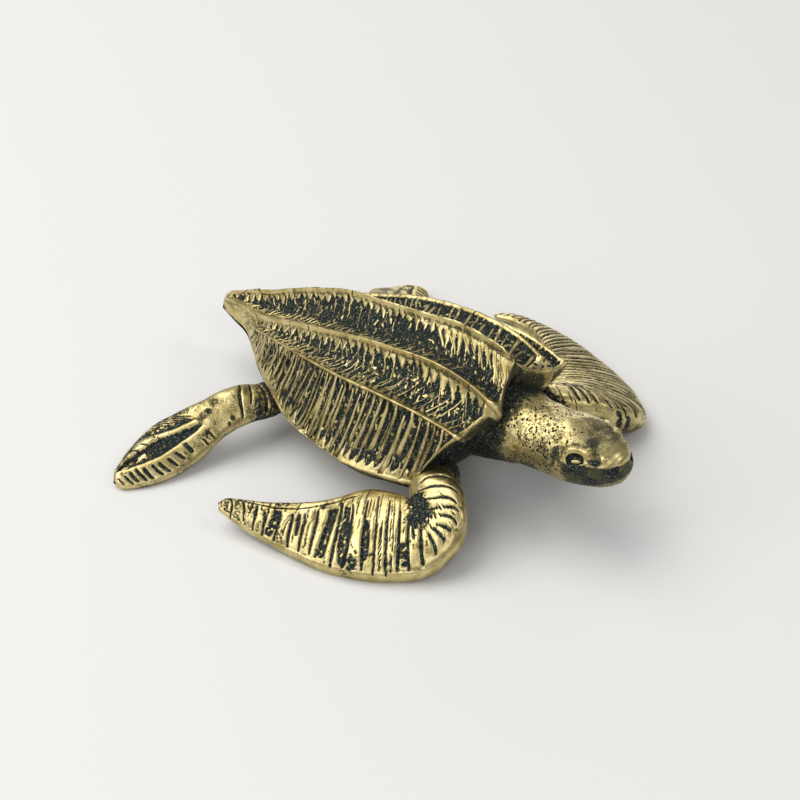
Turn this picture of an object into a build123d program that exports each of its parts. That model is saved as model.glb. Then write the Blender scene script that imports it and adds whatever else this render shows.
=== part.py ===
from build123d import *
import os

# A small cast brass leatherback turtle, standing on its four flippers.
# Millimetres. The head looks along -Y, +Z is up, and +X is the turtle's left.
# The origin is on the ground, under the middle of the figurine.

# Shell
shell_length = 44.4
shell_half_width = 13.2
shell_rise = 14.1
shell_wall = 2.9
rim_reach = 15.4
rim_lip = 1.0
scallop_depth = 0.7
tail_lift = 1.6
crest_half_width = 0.42
crest_height = 0.2

# Seat between the shell and the torso
seat_height = 5.0
seat_width = 1.8
core_clearance = 0.25
limb_clearance = 0.15
notch_clearance = 0.65

# How far the cutting shapes run past what they cut
overrun = 2.0

# Torso
belly_gap = 1.3
belly_round = 3.2
chest_reach = 13.0
chest_inset = 0.6

# Head and neck, measured forward from the face of the chest
head_reach = 16.0
head_half_width = 4.4
head_height = 10.4
head_depth = 6.2
eye_radius = 0.65
brow_radius = 0.9

# Front flippers, measured from the middle of their seats on the torso
shoulder_seat = 5.8
shoulder_reach = 10.2
shoulder_height = 5.1
shoulder_length = 5.4
shoulder_depth = 4.8
shoulder_straight = 2.6
right_reach = 19.1
right_sweep = 17.0
left_reach = 20.6
left_sweep = 17.6
blade_thickness = 3.0

# Rear flippers, measured from the middle of their seats on the torso
hip_seat = 5.6
hip_height = 3.5
hip_length = 4.4
hip_depth = 2.5
hip_straight = 3.2
right_rear_reach = 20.9
left_rear_reach = 18.0
rear_sweep = 7.5
paddle_thickness = 2.8

# How deep a ridge's two neighbouring flutes and the side bands are hollowed, as shares of their width
flute_share = 0.19
band_share = 0.05

# How much of a narrow flute its crests may take at the tail
crest_limit_share = 0.13

# Stations of the shell from its front rim to its tail: place along the length, height of the keel,
# then half width and height of the inner ridge, the outer ridge and the margin.
# Places are shares of the length, widths of the half width, heights of the rise above the seat.
shell_station_shares = [
    (-0.03, 0.856, 0.351, 0.642, 0.674, 0.475, 0.80, 0.09),
    (0.10, 0.975, 0.386, 0.822, 0.717, 0.581, 0.85, 0.08),
    (0.20, 1.00, 0.398, 0.858, 0.75, 0.625, 0.945, 0.07),
    (0.30, 0.953, 0.412, 0.833, 0.748, 0.617, 1.00, 0.06),
    (0.44, 0.884, 0.397, 0.75, 0.72, 0.582, 0.93, 0.03),
    (0.55, 0.835, 0.352, 0.642, 0.64, 0.528, 0.84, 0.03),
    (0.66, 0.714, 0.305, 0.534, 0.534, 0.454, 0.69, 0.05),
    (0.76, 0.576, 0.25, 0.418, 0.417, 0.365, 0.475, 0.07),
    (0.82, 0.484, 0.197, 0.34, 0.28, 0.258, 0.30, 0.09),
    (0.88, 0.408, 0.13, 0.30, 0.157, 0.234, 0.17, 0.12),
    (0.94, 0.319, 0.077, 0.252, 0.103, 0.205, 0.115, 0.125),
    (1.00, 0.227, 0.035, 0.20, 0.05, 0.17, 0.058, 0.125),
]

# Ends of the ridges on the front rim: half width, and place along the length
keel_end_share = 0.035
inner_end_shares = (0.355, 0.0)
outer_end_shares = (0.695, 0.035)
margin_end_shares = (0.865, 0.133)

# The throat under the rim: how high it starts, as a share of the rise, and where the lift of the
# tail's underside starts along the length
throat_share = 0.34
tail_start_share = 0.78

# How far along the shell the rear flippers are seated
hip_share = 0.676

# Where the hollow under the shell opens, and the stations that it shares with the core inside it
hollow_front_share = -0.03
core_station_shares = [0.15, 0.30, 0.44, 0.57, 0.70]

# Belly: place along the shell, half width as a share of the torso's at that place, and underside
# height as a share of the height from the belly gap to the seat
belly_station_shares = [
    (0.085, 0.66, 0.9),
    (0.14, 0.88, 0.4),
    (0.26, 0.98, 0.02),
    (0.42, 1.0, 0.0),
    (0.58, 1.0, 0.02),
    (0.72, 0.96, 0.12),
    (0.81, 0.86, 0.45),
]

# Head and neck: place forward of the chest, half width, height of the middle and half depth,
# as shares of the head's reach, half width, height and depth. An eye and the brow over it have a
# place, a distance across and a height.
head_station_shares = [
    (0.0, 1.11, 0.935, 0.72),
    (0.125, 0.975, 0.925, 0.64),
    (0.25, 0.875, 0.94, 0.565),
    (0.375, 0.875, 0.96, 0.54),
    (0.5, 0.93, 0.98, 0.53),
    (0.625, 0.98, 0.995, 0.508),
    (0.75, 0.885, 1.0, 0.45),
    (0.865, 0.68, 0.995, 0.38),
    (0.95, 0.48, 1.005, 0.29),
    (0.985, 0.31, 1.01, 0.2),
    (1.0, 0.14, 1.01, 0.09),
]
eye_shares = (0.735, 0.75, 1.105)
brow_shares = (0.7, 0.58, 1.16)

# Front flippers: leading edge, then trailing edge, each as reach, sweep and height, then thickness.
# Shares of the flipper's reach and sweep, the shoulder's height and the blade's thickness.
right_station_shares = [
    (0.24, -0.34, 1.05, 0.295, 0.07, 1.0, 1.7),
    (0.4, -0.46, 0.64, 0.36, 0.0, 1.0, 1.62),
    (0.59, -0.415, 0.26, 0.37, 0.0, 0.98, 1.38),
    (0.77, -0.22, 0.13, 0.37, 0.085, 0.94, 1.2),
    (0.88, -0.015, 0.11, 0.385, 0.19, 0.88, 1.1),
    (0.94, 0.21, 0.11, 0.44, 0.295, 0.84, 1.0),
    (0.96, 0.425, 0.13, 0.595, 0.385, 0.8, 0.93),
    (0.975, 0.63, 0.17, 0.735, 0.55, 0.72, 0.86),
    (0.985, 0.79, 0.24, 0.83, 0.73, 0.66, 0.77),
    (0.99, 0.905, 0.34, 0.89, 0.875, 0.62, 0.62),
    (0.985, 0.985, 0.44, 0.945, 0.98, 0.56, 0.26),
]
left_station_shares = [
    (0.24, -0.35, 1.05, 0.285, 0.05, 1.0, 1.7),
    (0.42, -0.48, 0.68, 0.365, -0.02, 1.0, 1.62),
    (0.61, -0.485, 0.28, 0.38, -0.01, 0.98, 1.38),
    (0.765, -0.29, 0.13, 0.38, 0.07, 0.94, 1.2),
    (0.88, -0.055, 0.11, 0.395, 0.18, 0.88, 1.1),
    (0.95, 0.17, 0.11, 0.455, 0.285, 0.84, 1.0),
    (0.99, 0.395, 0.13, 0.6, 0.38, 0.8, 0.93),
    (1.0, 0.61, 0.17, 0.74, 0.54, 0.72, 0.86),
    (0.995, 0.78, 0.24, 0.835, 0.72, 0.66, 0.77),
    (0.975, 0.905, 0.34, 0.89, 0.87, 0.62, 0.62),
    (0.95, 0.985, 0.44, 0.91, 0.975, 0.56, 0.26),
]

# Where a limb section's blunt leading edge and finer trailing edge start, as shares of its half chord
# and half depth, and how far forward its crown stands
lead_shares = (0.84, 0.56)
trail_shares = (0.9, 0.42)
crown_share = 0.05

# Rear flippers, in the same order, as shares of their own sizes and the hip's height
rear_station_shares = [
    (0.33, -0.13, 0.96, 0.31, 0.36, 1.62, 1.12),
    (0.46, 0.0, 0.84, 0.43, 0.65, 1.68, 1.12),
    (0.595, 0.055, 0.56, 0.54, 0.9, 1.34, 1.0),
    (0.73, 0.145, 0.31, 0.665, 0.98, 0.95, 0.88),
    (0.86, 0.3, 0.18, 0.795, 0.99, 0.56, 0.76),
    (0.955, 0.49, 0.13, 0.89, 0.94, 0.39, 0.61),
    (1.0, 0.7, 0.13, 0.965, 0.865, 0.27, 0.4),
]


def along_shell(share):
    return share * shell_length - rim_reach


def above_seat(share):
    return seat_height + share * shell_rise


def shell_value(column, place):
    """One column of the shell's stations at a place, on a straight run between its two neighbours."""
    for before, after in zip(shell_station_shares, shell_station_shares[1:]):
        if before[0] <= place <= after[0]:
            part = (place - before[0]) / (after[0] - before[0])
            return before[column] + (after[column] - before[column]) * part


def ridge_points(station):
    """The seven ridges of one station, from the right margin over the keel to the left one."""
    keel, inner_x, inner_z, outer_x, outer_z, margin_x, margin_z = station[1:]
    left = [(inner_x, inner_z), (outer_x, outer_z), (margin_x, margin_z)]
    right = [(-x, z) for x, z in reversed(left)]
    shares = right + [(0, keel)] + left
    return [Vector(x * shell_half_width, above_seat(z)) for x, z in shares]


def flute(start, end, depth_share):
    """A hollow between two ridges: its two ends, clear of the crests, and its lowest point."""
    run = end - start
    inward = Vector(run.Y, -run.X).normalized()
    crest = min(crest_half_width, crest_limit_share * run.length)
    drop = inward * (crest_height * crest / crest_half_width)
    first = start + run.normalized() * crest + drop
    last = end - run.normalized() * crest + drop
    lowest = (first + last) / 2 + inward * (run.length * depth_share)
    return first, lowest, last


def shell_outline(station):
    """Draws the outline of one station: flutes, sharp crests, and the margin down to its foot."""
    ridges = ridge_points(station)
    flutes = []
    for number, (start, end) in enumerate(zip(ridges, ridges[1:])):
        is_band = number in (0, len(ridges) - 2)
        flutes.append(flute(start, end, band_share if is_band else flute_share))
    foot = min(rim_lip, ridges[-1].X / 2)
    foot_z = seat_height - rim_lip
    right_foot = Vector(ridges[0].X + foot, foot_z)
    left_foot = Vector(ridges[-1].X - foot, foot_z)
    ThreePointArc(right_foot, ridges[0], flutes[0][0])
    for number, (first, lowest, last) in enumerate(flutes):
        ThreePointArc(first, lowest, last)
        if number < len(flutes) - 1:
            Polyline(last, ridges[number + 1], flutes[number + 1][0])
    ThreePointArc(flutes[-1][2], ridges[-1], left_foot)
    Line(left_foot, right_foot)


def hollow_outline(place, clearance):
    """Draws the hollow under the shell at a place, made smaller all round by a clearance."""
    inset = shell_wall + clearance
    foot_x = shell_value(6, place) * shell_half_width - rim_lip - seat_width - clearance
    side_x = min(shell_value(4, place) * shell_half_width - inset, foot_x)
    side_z = above_seat(shell_value(5, place)) - inset
    top_z = above_seat(shell_value(1, place)) - inset
    foot_z = seat_height - clearance
    Polyline((-side_x, side_z), (-foot_x, foot_z), (foot_x, foot_z), (side_x, side_z))
    ThreePointArc((side_x, side_z), (0, top_z), (-side_x, side_z))


def limb_outline(half_chord, half_depth):
    """Draws one limb section: a blunt leading edge, two crowned sides and a finer trailing edge."""
    lead_x, lead_z = -half_chord * lead_shares[0], half_depth * lead_shares[1]
    trail_x, trail_z = half_chord * trail_shares[0], half_depth * trail_shares[1]
    crown_x = -half_chord * crown_share
    ThreePointArc((lead_x, lead_z), (crown_x, half_depth), (trail_x, trail_z))
    ThreePointArc((trail_x, trail_z), (half_chord, 0), (trail_x, -trail_z))
    ThreePointArc((trail_x, -trail_z), (crown_x, -half_depth), (lead_x, -lead_z))
    ThreePointArc((lead_x, -lead_z), (-half_chord, 0), (lead_x, lead_z))


def root_plane(side, seat, straight):
    """A plane square to X, with its own X running backwards, at a distance out from a limb's seat."""
    seat_x, seat_y, seat_z = seat
    return Plane(origin=(side * (seat_x + straight), seat_y, seat_z), x_dir=(0, 1, 0), z_dir=(1, 0, 0))


def root_outline(root, clearance):
    """Draws a limb's root, made larger all round by a clearance."""
    length, depth, straight = root
    limb_outline(length / 2 + clearance, depth / 2 + clearance)


def limb_sections(side, seat, root, rows, reach, sweep, thickness):
    """The sections of one limb, each as its plane, half chord and half depth.

    Two square ones carry the straight root out of its seat. Each row then stands between a point on
    the leading edge and a point on the trailing edge.
    """
    seat_x, seat_y, seat_z = seat
    length, depth, straight = root
    sections = [(root_plane(side, seat, run), length / 2, depth / 2) for run in (0, straight)]
    for row in rows:
        leading, trailing = [
            Vector(side * (seat_x + out * reach), seat_y + back * sweep, height * seat_z)
            for out, back, height in (row[0:3], row[3:6])
        ]
        chord = trailing - leading
        middle = (leading + trailing) / 2
        plane = Plane(origin=middle, x_dir=chord, z_dir=chord.cross(Vector(0, 0, 1)))
        sections.append((plane, chord.length / 2, row[6] * thickness / 2))
    return sections


# Where each limb is seated, as distance out, place and height, and its root's length, depth and run
shoulder_at = (shoulder_seat, -shoulder_reach, shoulder_height)
shoulder_root = (shoulder_length, shoulder_depth, shoulder_straight)
hip_at = (hip_seat, along_shell(hip_share), hip_height)
hip_root = (hip_length, hip_depth, hip_straight)

# The face of the chest as a place along the shell
chest_share = (rim_reach - chest_reach) / shell_length

# Carapace: seven ridges with hollow flutes between them, drawn together at the tail
with BuildPart() as carapace:
    for station in shell_station_shares:
        with BuildSketch(Plane.XZ.offset(-along_shell(station[0]))):
            with BuildLine():
                shell_outline(station)
            make_face()
    loft(ruled=True)
    # The flat foot that stands on the torso
    split(bisect_by=Plane.XY.offset(seat_height), keep=Keep.TOP)
    # The scalloped front rim
    keel_end = Vector(0, along_shell(keel_end_share))
    inner_end = Vector(inner_end_shares[0] * shell_half_width, along_shell(inner_end_shares[1]))
    outer_end = Vector(outer_end_shares[0] * shell_half_width, along_shell(outer_end_shares[1]))
    margin_end = Vector(margin_end_shares[0] * shell_half_width, along_shell(margin_end_shares[1]))
    clear_x = shell_half_width + overrun
    clear_y = along_shell(shell_station_shares[0][0]) - overrun
    with BuildSketch(Plane.XY.offset(seat_height)):
        with BuildLine():
            half = [margin_end, outer_end, inner_end, keel_end]
            for first, second in zip(half[1:], half[2:]):
                middle = (first + second) / 2 + Vector(0, scallop_depth)
                ThreePointArc(first, middle, second)
                ThreePointArc((-first.X, first.Y), (-middle.X, middle.Y), (-second.X, second.Y))
            for side in (1, -1):
                edge = (side * margin_end.X, margin_end.Y)
                Line((side * outer_end.X, outer_end.Y), edge)
                Polyline(edge, (side * clear_x, margin_end.Y), (side * clear_x, clear_y))
            Line((clear_x, clear_y), (-clear_x, clear_y))
        make_face()
    extrude(amount=shell_rise + overrun, mode=Mode.SUBTRACT)
    # The throat under the rim, swept back to the corners of the margin, and the lifted tail
    throat_z = above_seat(throat_share)
    tail_y = along_shell(tail_start_share)
    with BuildSketch(Plane.YZ):
        with BuildLine():
            Polyline(
                (clear_y, seat_height), (margin_end.Y, seat_height), (outer_end.Y, throat_z),
                (clear_y, throat_z), close=True,
            )
        make_face()
        with BuildLine():
            tail_end = (shell_length - rim_reach, seat_height + tail_lift)
            Polyline((tail_y, seat_height), (tail_end[0], seat_height), tail_end, close=True)
        make_face()
    extrude(amount=clear_x, both=True, mode=Mode.SUBTRACT)
    # The hollow, open under the front rim and at the foot
    for place in (hollow_front_share, chest_share, *core_station_shares):
        with BuildSketch(Plane.XZ.offset(-along_shell(place))):
            with BuildLine():
                hollow_outline(place, 0)
            make_face()
    loft(ruled=True, mode=Mode.SUBTRACT)
    # Notches that the shoulders pass through
    for side in (1, -1):
        with BuildSketch(root_plane(side, shoulder_at, 0)):
            with BuildLine():
                root_outline(shoulder_root, notch_clearance)
            make_face()
        extrude(amount=side * shell_half_width, mode=Mode.SUBTRACT)
carapace.part.label = "carapace"

# Torso: a core that fills the hollow, on a rounded belly that carries the shell's foot
with BuildPart() as torso:
    for place in (chest_share, *core_station_shares):
        clearance = core_clearance + (chest_inset if place == chest_share else 0)
        with BuildSketch(Plane.XZ.offset(-along_shell(place))):
            with BuildLine():
                hollow_outline(place, clearance)
            make_face()
    loft(ruled=True)
    split(bisect_by=Plane.XY.offset(seat_height), keep=Keep.TOP)
    for place, width_share, height_share in belly_station_shares:
        half_width = (shell_value(6, place) * shell_half_width - rim_lip) * width_share
        under_z = belly_gap + height_share * (seat_height - belly_gap)
        turn = min(belly_round, half_width / 2)
        side_x, side_z = half_width - turn / 4, (seat_height + under_z) / 2
        with BuildSketch(Plane.XZ.offset(-along_shell(place))):
            with BuildLine():
                Line((-half_width, seat_height), (half_width, seat_height))
                ThreePointArc((half_width, seat_height), (side_x, side_z), (half_width - turn, under_z))
                Line((half_width - turn, under_z), (turn - half_width, under_z))
                ThreePointArc((turn - half_width, under_z), (-side_x, side_z), (-half_width, seat_height))
            make_face()
    loft(ruled=True)
    # Flat seats for the four limbs
    for seat, root in ((shoulder_at, shoulder_root), (hip_at, hip_root)):
        for side in (1, -1):
            with BuildSketch(root_plane(side, seat, 0)):
                with BuildLine():
                    root_outline(root, limb_clearance)
                make_face()
            extrude(amount=side * shell_half_width, mode=Mode.SUBTRACT)
torso.part.label = "torso"

# Head and neck, from the flat face of the chest to the snout
with BuildPart() as head:
    for place, width_share, height_share, depth_share in head_station_shares:
        with BuildSketch(Plane.XZ.offset(chest_reach + place * head_reach)):
            with Locations((0, height_share * head_height)):
                Ellipse(width_share * head_half_width, depth_share * head_depth)
    loft()
    for side in (1, -1):
        for (place, across, height), radius in ((eye_shares, eye_radius), (brow_shares, brow_radius)):
            y = -chest_reach - place * head_reach
            with Locations((side * across * head_half_width, y, height * head_height)):
                Sphere(radius)
head.part.label = "head"

# Flippers, from their seats to their tips, with flats where they stand on the ground
front_right = (right_station_shares, right_reach, right_sweep, blade_thickness)
front_left = (left_station_shares, left_reach, left_sweep, blade_thickness)
rear_right = (rear_station_shares, right_rear_reach, rear_sweep, paddle_thickness)
rear_left = (rear_station_shares, left_rear_reach, rear_sweep, paddle_thickness)
flippers = []
for label, side, seat, root, sizes in (
    ("front_flipper_right", -1, shoulder_at, shoulder_root, front_right),
    ("front_flipper_left", 1, shoulder_at, shoulder_root, front_left),
    ("rear_flipper_right", -1, hip_at, hip_root, rear_right),
    ("rear_flipper_left", 1, hip_at, hip_root, rear_left),
):
    with BuildPart() as flipper:
        for plane, half_chord, half_depth in limb_sections(side, seat, root, *sizes):
            with BuildSketch(plane):
                with BuildLine():
                    limb_outline(half_chord, half_depth)
                make_face()
        loft(ruled=True)
        split(bisect_by=Plane.XY, keep=Keep.TOP)
    flipper.part.label = label
    flippers.append(flipper)

os.makedirs("parts", exist_ok=True)
for piece in (carapace, torso, head, *flippers):
    export_step(piece.part, f"parts/{piece.part.label}.step")
    print(piece.part.label, round(piece.part.volume, 1))
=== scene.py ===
import math
import bmesh
import bpy
import numpy as np
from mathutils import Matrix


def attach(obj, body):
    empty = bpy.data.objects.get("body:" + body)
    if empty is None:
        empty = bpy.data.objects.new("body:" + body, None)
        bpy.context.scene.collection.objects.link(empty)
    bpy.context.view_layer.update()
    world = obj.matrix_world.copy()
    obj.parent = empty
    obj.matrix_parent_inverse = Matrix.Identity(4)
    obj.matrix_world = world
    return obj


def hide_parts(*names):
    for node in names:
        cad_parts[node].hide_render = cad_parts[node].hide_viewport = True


# A small cast brass leatherback turtle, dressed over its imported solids.
# Shapes are worked out in millimetres and become metres when their mesh is made.

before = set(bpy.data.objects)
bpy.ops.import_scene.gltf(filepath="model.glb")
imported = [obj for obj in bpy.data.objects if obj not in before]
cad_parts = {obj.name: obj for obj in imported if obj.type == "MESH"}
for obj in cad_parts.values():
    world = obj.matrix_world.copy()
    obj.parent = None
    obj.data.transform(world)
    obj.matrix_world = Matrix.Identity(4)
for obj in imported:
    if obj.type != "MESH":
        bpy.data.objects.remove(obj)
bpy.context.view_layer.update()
print("frame loaded", sorted(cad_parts))

metre = 0.001


# Small helpers for curves, noise and grids

def smoothStep(values, low, high):
    part = np.clip((values - low) / (high - low), 0, 1)
    return part * part * (3 - 2 * part)


# smooth curve through rows of values, without overshoot between two rows
def smoothThrough(places, rows, at):
    places = np.asarray(places, float)
    rows = np.asarray(rows, float).reshape(len(places), -1)
    at = np.asarray(at, float)
    flat = np.clip(at.ravel(), places[0], places[-1])
    gap = np.diff(places)[:, None]
    climb = np.diff(rows, axis=0) / gap
    inner = (climb[1:] * gap[:-1] + climb[:-1] * gap[1:]) / (gap[1:] + gap[:-1])
    limit = 2.5 * np.minimum(np.abs(climb[1:]), np.abs(climb[:-1]))
    inner = np.where(climb[1:] * climb[:-1] > 0, np.clip(inner, -limit, limit), 0.35 * inner)
    slope = np.vstack([climb[:1], inner, climb[-1:]])
    index = np.clip(np.searchsorted(places, flat, side="right") - 1, 0, len(gap) - 1)
    run = gap[index]
    part = (flat - places[index])[:, None] / run
    value = (rows[index] * (2 * part**3 - 3 * part**2 + 1)
             + slope[index] * run * (part**3 - 2 * part**2 + part)
             + rows[index + 1] * (3 * part**2 - 2 * part**3)
             + slope[index + 1] * run * (part**3 - part**2))
    return value.reshape(at.shape + (rows.shape[1],))


# soft random values between 0 and 1, of a given grain in millimetres
def cloud(points, grain, seed):
    cell = np.asarray(points, float) / grain
    base = np.floor(cell).astype(np.int64)
    part = cell - base
    part = part * part * (3 - 2 * part)
    table = np.random.default_rng(seed).random(8192)
    total = np.zeros(cell.shape[:-1])
    for corner in range(8):
        step = np.array([corner & 1, corner >> 1 & 1, corner >> 2 & 1])
        key = (base + step) @ np.array([73, 1571, 3371]) % 8192
        total += table[key] * np.prod(np.where(step, part, 1 - part), axis=-1)
    return total


# the hammered unevenness of cast metal, by its height and its grain
def hammered(points, height, grain, seed):
    return height * (cloud(points, grain, seed) - 0.5)


def gridNormals(grid, closed):
    along = np.gradient(grid, axis=0)
    if closed:
        across = (np.roll(grid, -1, 1) - np.roll(grid, 1, 1)) / 2
    else:
        across = np.gradient(grid, axis=1)
    normal = np.cross(along, across)
    return normal / np.maximum(np.linalg.norm(normal, axis=-1, keepdims=True), 1e-9)


# 1 or -1, so that a closed grid's normals times it point away from its middle line
def outwardSign(grid, centre):
    return np.sign(np.sum(gridNormals(grid, True) * (grid - centre), axis=-1).mean())


def gridFaces(rows, columns, closed):
    row = np.arange(rows - 1)[:, None] * columns
    column = np.arange(columns if closed else columns - 1)[None, :]
    after = (column + 1) % columns
    corners = [row + column, row + after, row + columns + after, row + columns + column]
    return np.stack(corners, -1).reshape(-1, 4)


def ringTurns(columns):
    turn = np.linspace(0, 2 * math.pi, columns, endpoint=False)
    return np.cos(turn), np.sin(turn)


# rounds or squares a ring, and keeps its signs
def signedPower(values, power):
    return np.sign(values) * np.abs(values) ** power


# rings along Y around a middle line, with their outward normals
def ringGrid(place, width, middle, high, turns, powers):
    grid = np.stack([
        width[:, None] * signedPower(turns[0], powers[0]),
        np.broadcast_to(place[:, None], (len(place), len(turns[0]))),
        middle[:, None] + high * signedPower(turns[1], powers[1]),
    ], -1)
    centre = np.stack([0 * place, place, middle], -1)[:, None]
    return grid, gridNormals(grid, True) * outwardSign(grid, centre)


# how far each point of a grid lies below its surroundings, in millimetres; crests come out negative
def hollowDepth(grid, closed, spans=(1, 3)):
    depth = np.zeros(grid.shape[:2])
    normal = gridNormals(grid, closed)
    for span in spans:
        rows = np.arange(len(grid))
        around = [grid[np.minimum(rows + span, rows[-1])], grid[np.maximum(rows - span, 0)]]
        columns = np.arange(grid.shape[1])
        for shift in (span, -span):
            moved = columns + shift
            moved = moved % len(columns) if closed else np.clip(moved, 0, len(columns) - 1)
            around.append(grid[:, moved])
        depth += np.sum((sum(around) / 4 - grid) * normal, axis=-1)
    return depth


def addObject(name, data):
    made = bpy.data.objects.new(name, data)
    bpy.context.scene.collection.objects.link(made)
    return made


def faceOutwards(mesh):
    work = bmesh.new()
    work.from_mesh(mesh)
    bmesh.ops.recalc_face_normals(work, faces=work.faces)
    work.to_mesh(mesh)
    work.free()
    mesh.shade_smooth()


# a closed piece from points in millimetres, with its own patina and painted shade, its pitting, and outward
# faces
def castPiece(name, points, faces, patina, material, pitted=None):
    mesh = bpy.data.meshes.new(name)
    mesh.from_pydata((np.asarray(points) * metre).tolist(), [], faces)
    for label, values in (("patina", patina), ("pitted", pitted)):
        if values is not None:
            layer = mesh.attributes.new(label, "FLOAT", "POINT")
            layer.data.foreach_set("value", np.clip(values, 0, 1).astype(np.float32))
    faceOutwards(mesh)
    mesh.materials.append(material)
    return addObject(name, mesh)


# a closed tube of rings with a pole at each end
def tubePiece(name, grid, patina, pitted, material):
    rows, columns = grid.shape[:2]
    # darker in hollows and lighter on crests: the casting's patina in its recesses and its rubbed crests,
    # with painted shade like ambient occlusion in the hollows
    depth = hollowDepth(grid, True)
    depth *= outwardSign(grid, grid.mean(axis=1, keepdims=True))
    patina = patina + np.clip(depth * 9, -0.5, 0.6)
    points = np.vstack([grid.reshape(-1, 3), grid[0].mean(0), grid[-1].mean(0)])
    first, last = rows * columns, rows * columns + 1
    faces = gridFaces(rows, columns, True).tolist()
    for column in range(columns):
        after = (column + 1) % columns
        faces.append([first, after, column])
        faces.append([last, (rows - 1) * columns + column, (rows - 1) * columns + after])
    shade, pits = (np.concatenate([value.ravel(), [value[0].mean(), value[-1].mean()]])
                   for value in (patina, pitted))
    return castPiece(name, points, faces, shade, material, pits)


def addNode(tree, kind, **settings):
    node = tree.nodes.new(kind)
    for key, value in settings.items():
        setattr(node, key, value)
    return node


# gives a socket a number, a tuple or a field
def feed(socket, value):
    if isinstance(value, Field):
        socket.id_data.links.new(value.socket, socket)
    else:
        socket.default_value = value


def addMath(tree, operation, *values, clamp=False):
    node = addNode(tree, "ShaderNodeMath", operation=operation, use_clamp=clamp)
    for socket, value in zip(node.inputs, values):
        feed(socket, value)
    return Field(node.outputs[0])


# an output that can be added, multiplied and so on, each time by a math node of its own
class Field:
    def __init__(self, socket):
        self.socket = socket
        self.tree = socket.id_data

    def math(self, operation, *values, clamp=False):
        return addMath(self.tree, operation, self, *values, clamp=clamp)

    def __add__(self, other):
        return self.math("ADD", other)

    def __mul__(self, other):
        return self.math("MULTIPLY", other)

    def __sub__(self, other):
        return self.math("SUBTRACT", other)

    def __rsub__(self, other):
        return addMath(self.tree, "SUBTRACT", other, self)

    def __truediv__(self, other):
        return self.math("DIVIDE", other)

    __radd__, __rmul__ = __add__, __mul__


# Aged brass

brassFinish = {
    "polished": (0.69, 0.575, 0.28),
    "tarnished": (0.42, 0.34, 0.13),
    "olive": (0.12, 0.105, 0.048),
    "patina": (0.012, 0.019, 0.017),
    "speck": (0.27, 0.28, 0.245),
    "smooth": 0.33,
    "dull": 0.50,
    "crustShine": 0.25,
    "speckleSize": 0.00017,
    "cloudSize": 0.0021,
    "pitSize": 0.00025,
    "bumpStrength": 0.8,
    "bumpDepth": 0.00008,
}


def agedBrass(name, finish):
    material = bpy.data.materials.new(name)
    material.use_nodes = True
    tree = material.node_tree
    shader = tree.nodes["Principled BSDF"]
    where = Field(addNode(tree, "ShaderNodeTexCoord").outputs["Object"])

    def blend(first, second, factor):
        node = addNode(tree, "ShaderNodeMix", data_type="RGBA")
        for index, value in ((6, first), (7, second), (0, factor)):
            feed(node.inputs[index], (*value, 1) if isinstance(value, tuple) else value)
        return Field(node.outputs[2])

    def ramp(value, low, high, start, end):
        node = addNode(tree, "ShaderNodeMapRange", interpolation_type="SMOOTHSTEP")
        for socket, given in zip(node.inputs, (value, low, high, start, end)):
            feed(socket, given)
        return Field(node.outputs[0])

    def texture(kind, size, **numbers):
        node = addNode(tree, kind)
        for label, value in {"Vector": where, "Scale": 1 / size, **numbers}.items():
            feed(node.inputs[label], value)
        return node

    def marked(label):
        return Field(addNode(tree, "ShaderNodeAttribute", attribute_name=label).outputs["Fac"])

    def noise(size, detail):
        return Field(texture("ShaderNodeTexNoise", size, Detail=detail, Roughness=0.6).outputs[0])

    speckle, clouds = noise(finish["speckleSize"], 3), noise(finish["cloudSize"], 4)
    # small round pits where a piece is marked as pitted
    cells = texture("ShaderNodeTexVoronoi", finish["pitSize"])
    kept = Field(cells.outputs["Color"]).math("LESS_THAN", marked("pitted"))
    pit = ramp(Field(cells.outputs["Distance"]), 0.16, 0.34, 1.0, 0.0) * kept
    # the edge of the patina and the painted shade breaks up into speckles, through a band of olive tarnish
    broken = marked("patina") + (speckle - 0.5) * 0.95 + (clouds - 0.5) * 0.35
    broken = broken.math("MAXIMUM", pit * 0.95)
    tarnish = ramp(broken, 0.16, 0.52, 0.0, 1.0)
    cover = ramp(broken, 0.46, 0.74, 0.0, 1.0)
    metal = blend(finish["polished"], finish["tarnished"], ramp(clouds, 0.40, 0.68, 0.0, 1.0))
    metal = blend(metal, finish["olive"], tarnish)
    crust = blend(finish["patina"], finish["speck"], ramp(speckle, 0.56, 0.66, 0.0, 0.9))
    bump = addNode(tree, "ShaderNodeBump")
    feed(bump.inputs["Strength"], finish["bumpStrength"])
    feed(bump.inputs["Distance"], finish["bumpDepth"])
    feed(bump.inputs["Height"], speckle * ramp(broken, 0.2, 0.8, 0.3, 2.2) - pit * 1.5)
    for label, value in (("Base Color", blend(metal, crust, cover)),
                         ("Metallic", ramp(cover, 0.0, 1.0, 1.0, 0.6)),
                         ("Roughness", ramp(broken, 0.1, 0.7, finish["smooth"], finish["dull"])),
                         ("Specular IOR Level", finish["crustShine"]),
                         ("Normal", Field(bump.outputs[0]))):
        feed(shader.inputs[label], value)
    return material


brass = agedBrass("agedBrass", brassFinish)
print("brass ready")


# Shell

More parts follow.
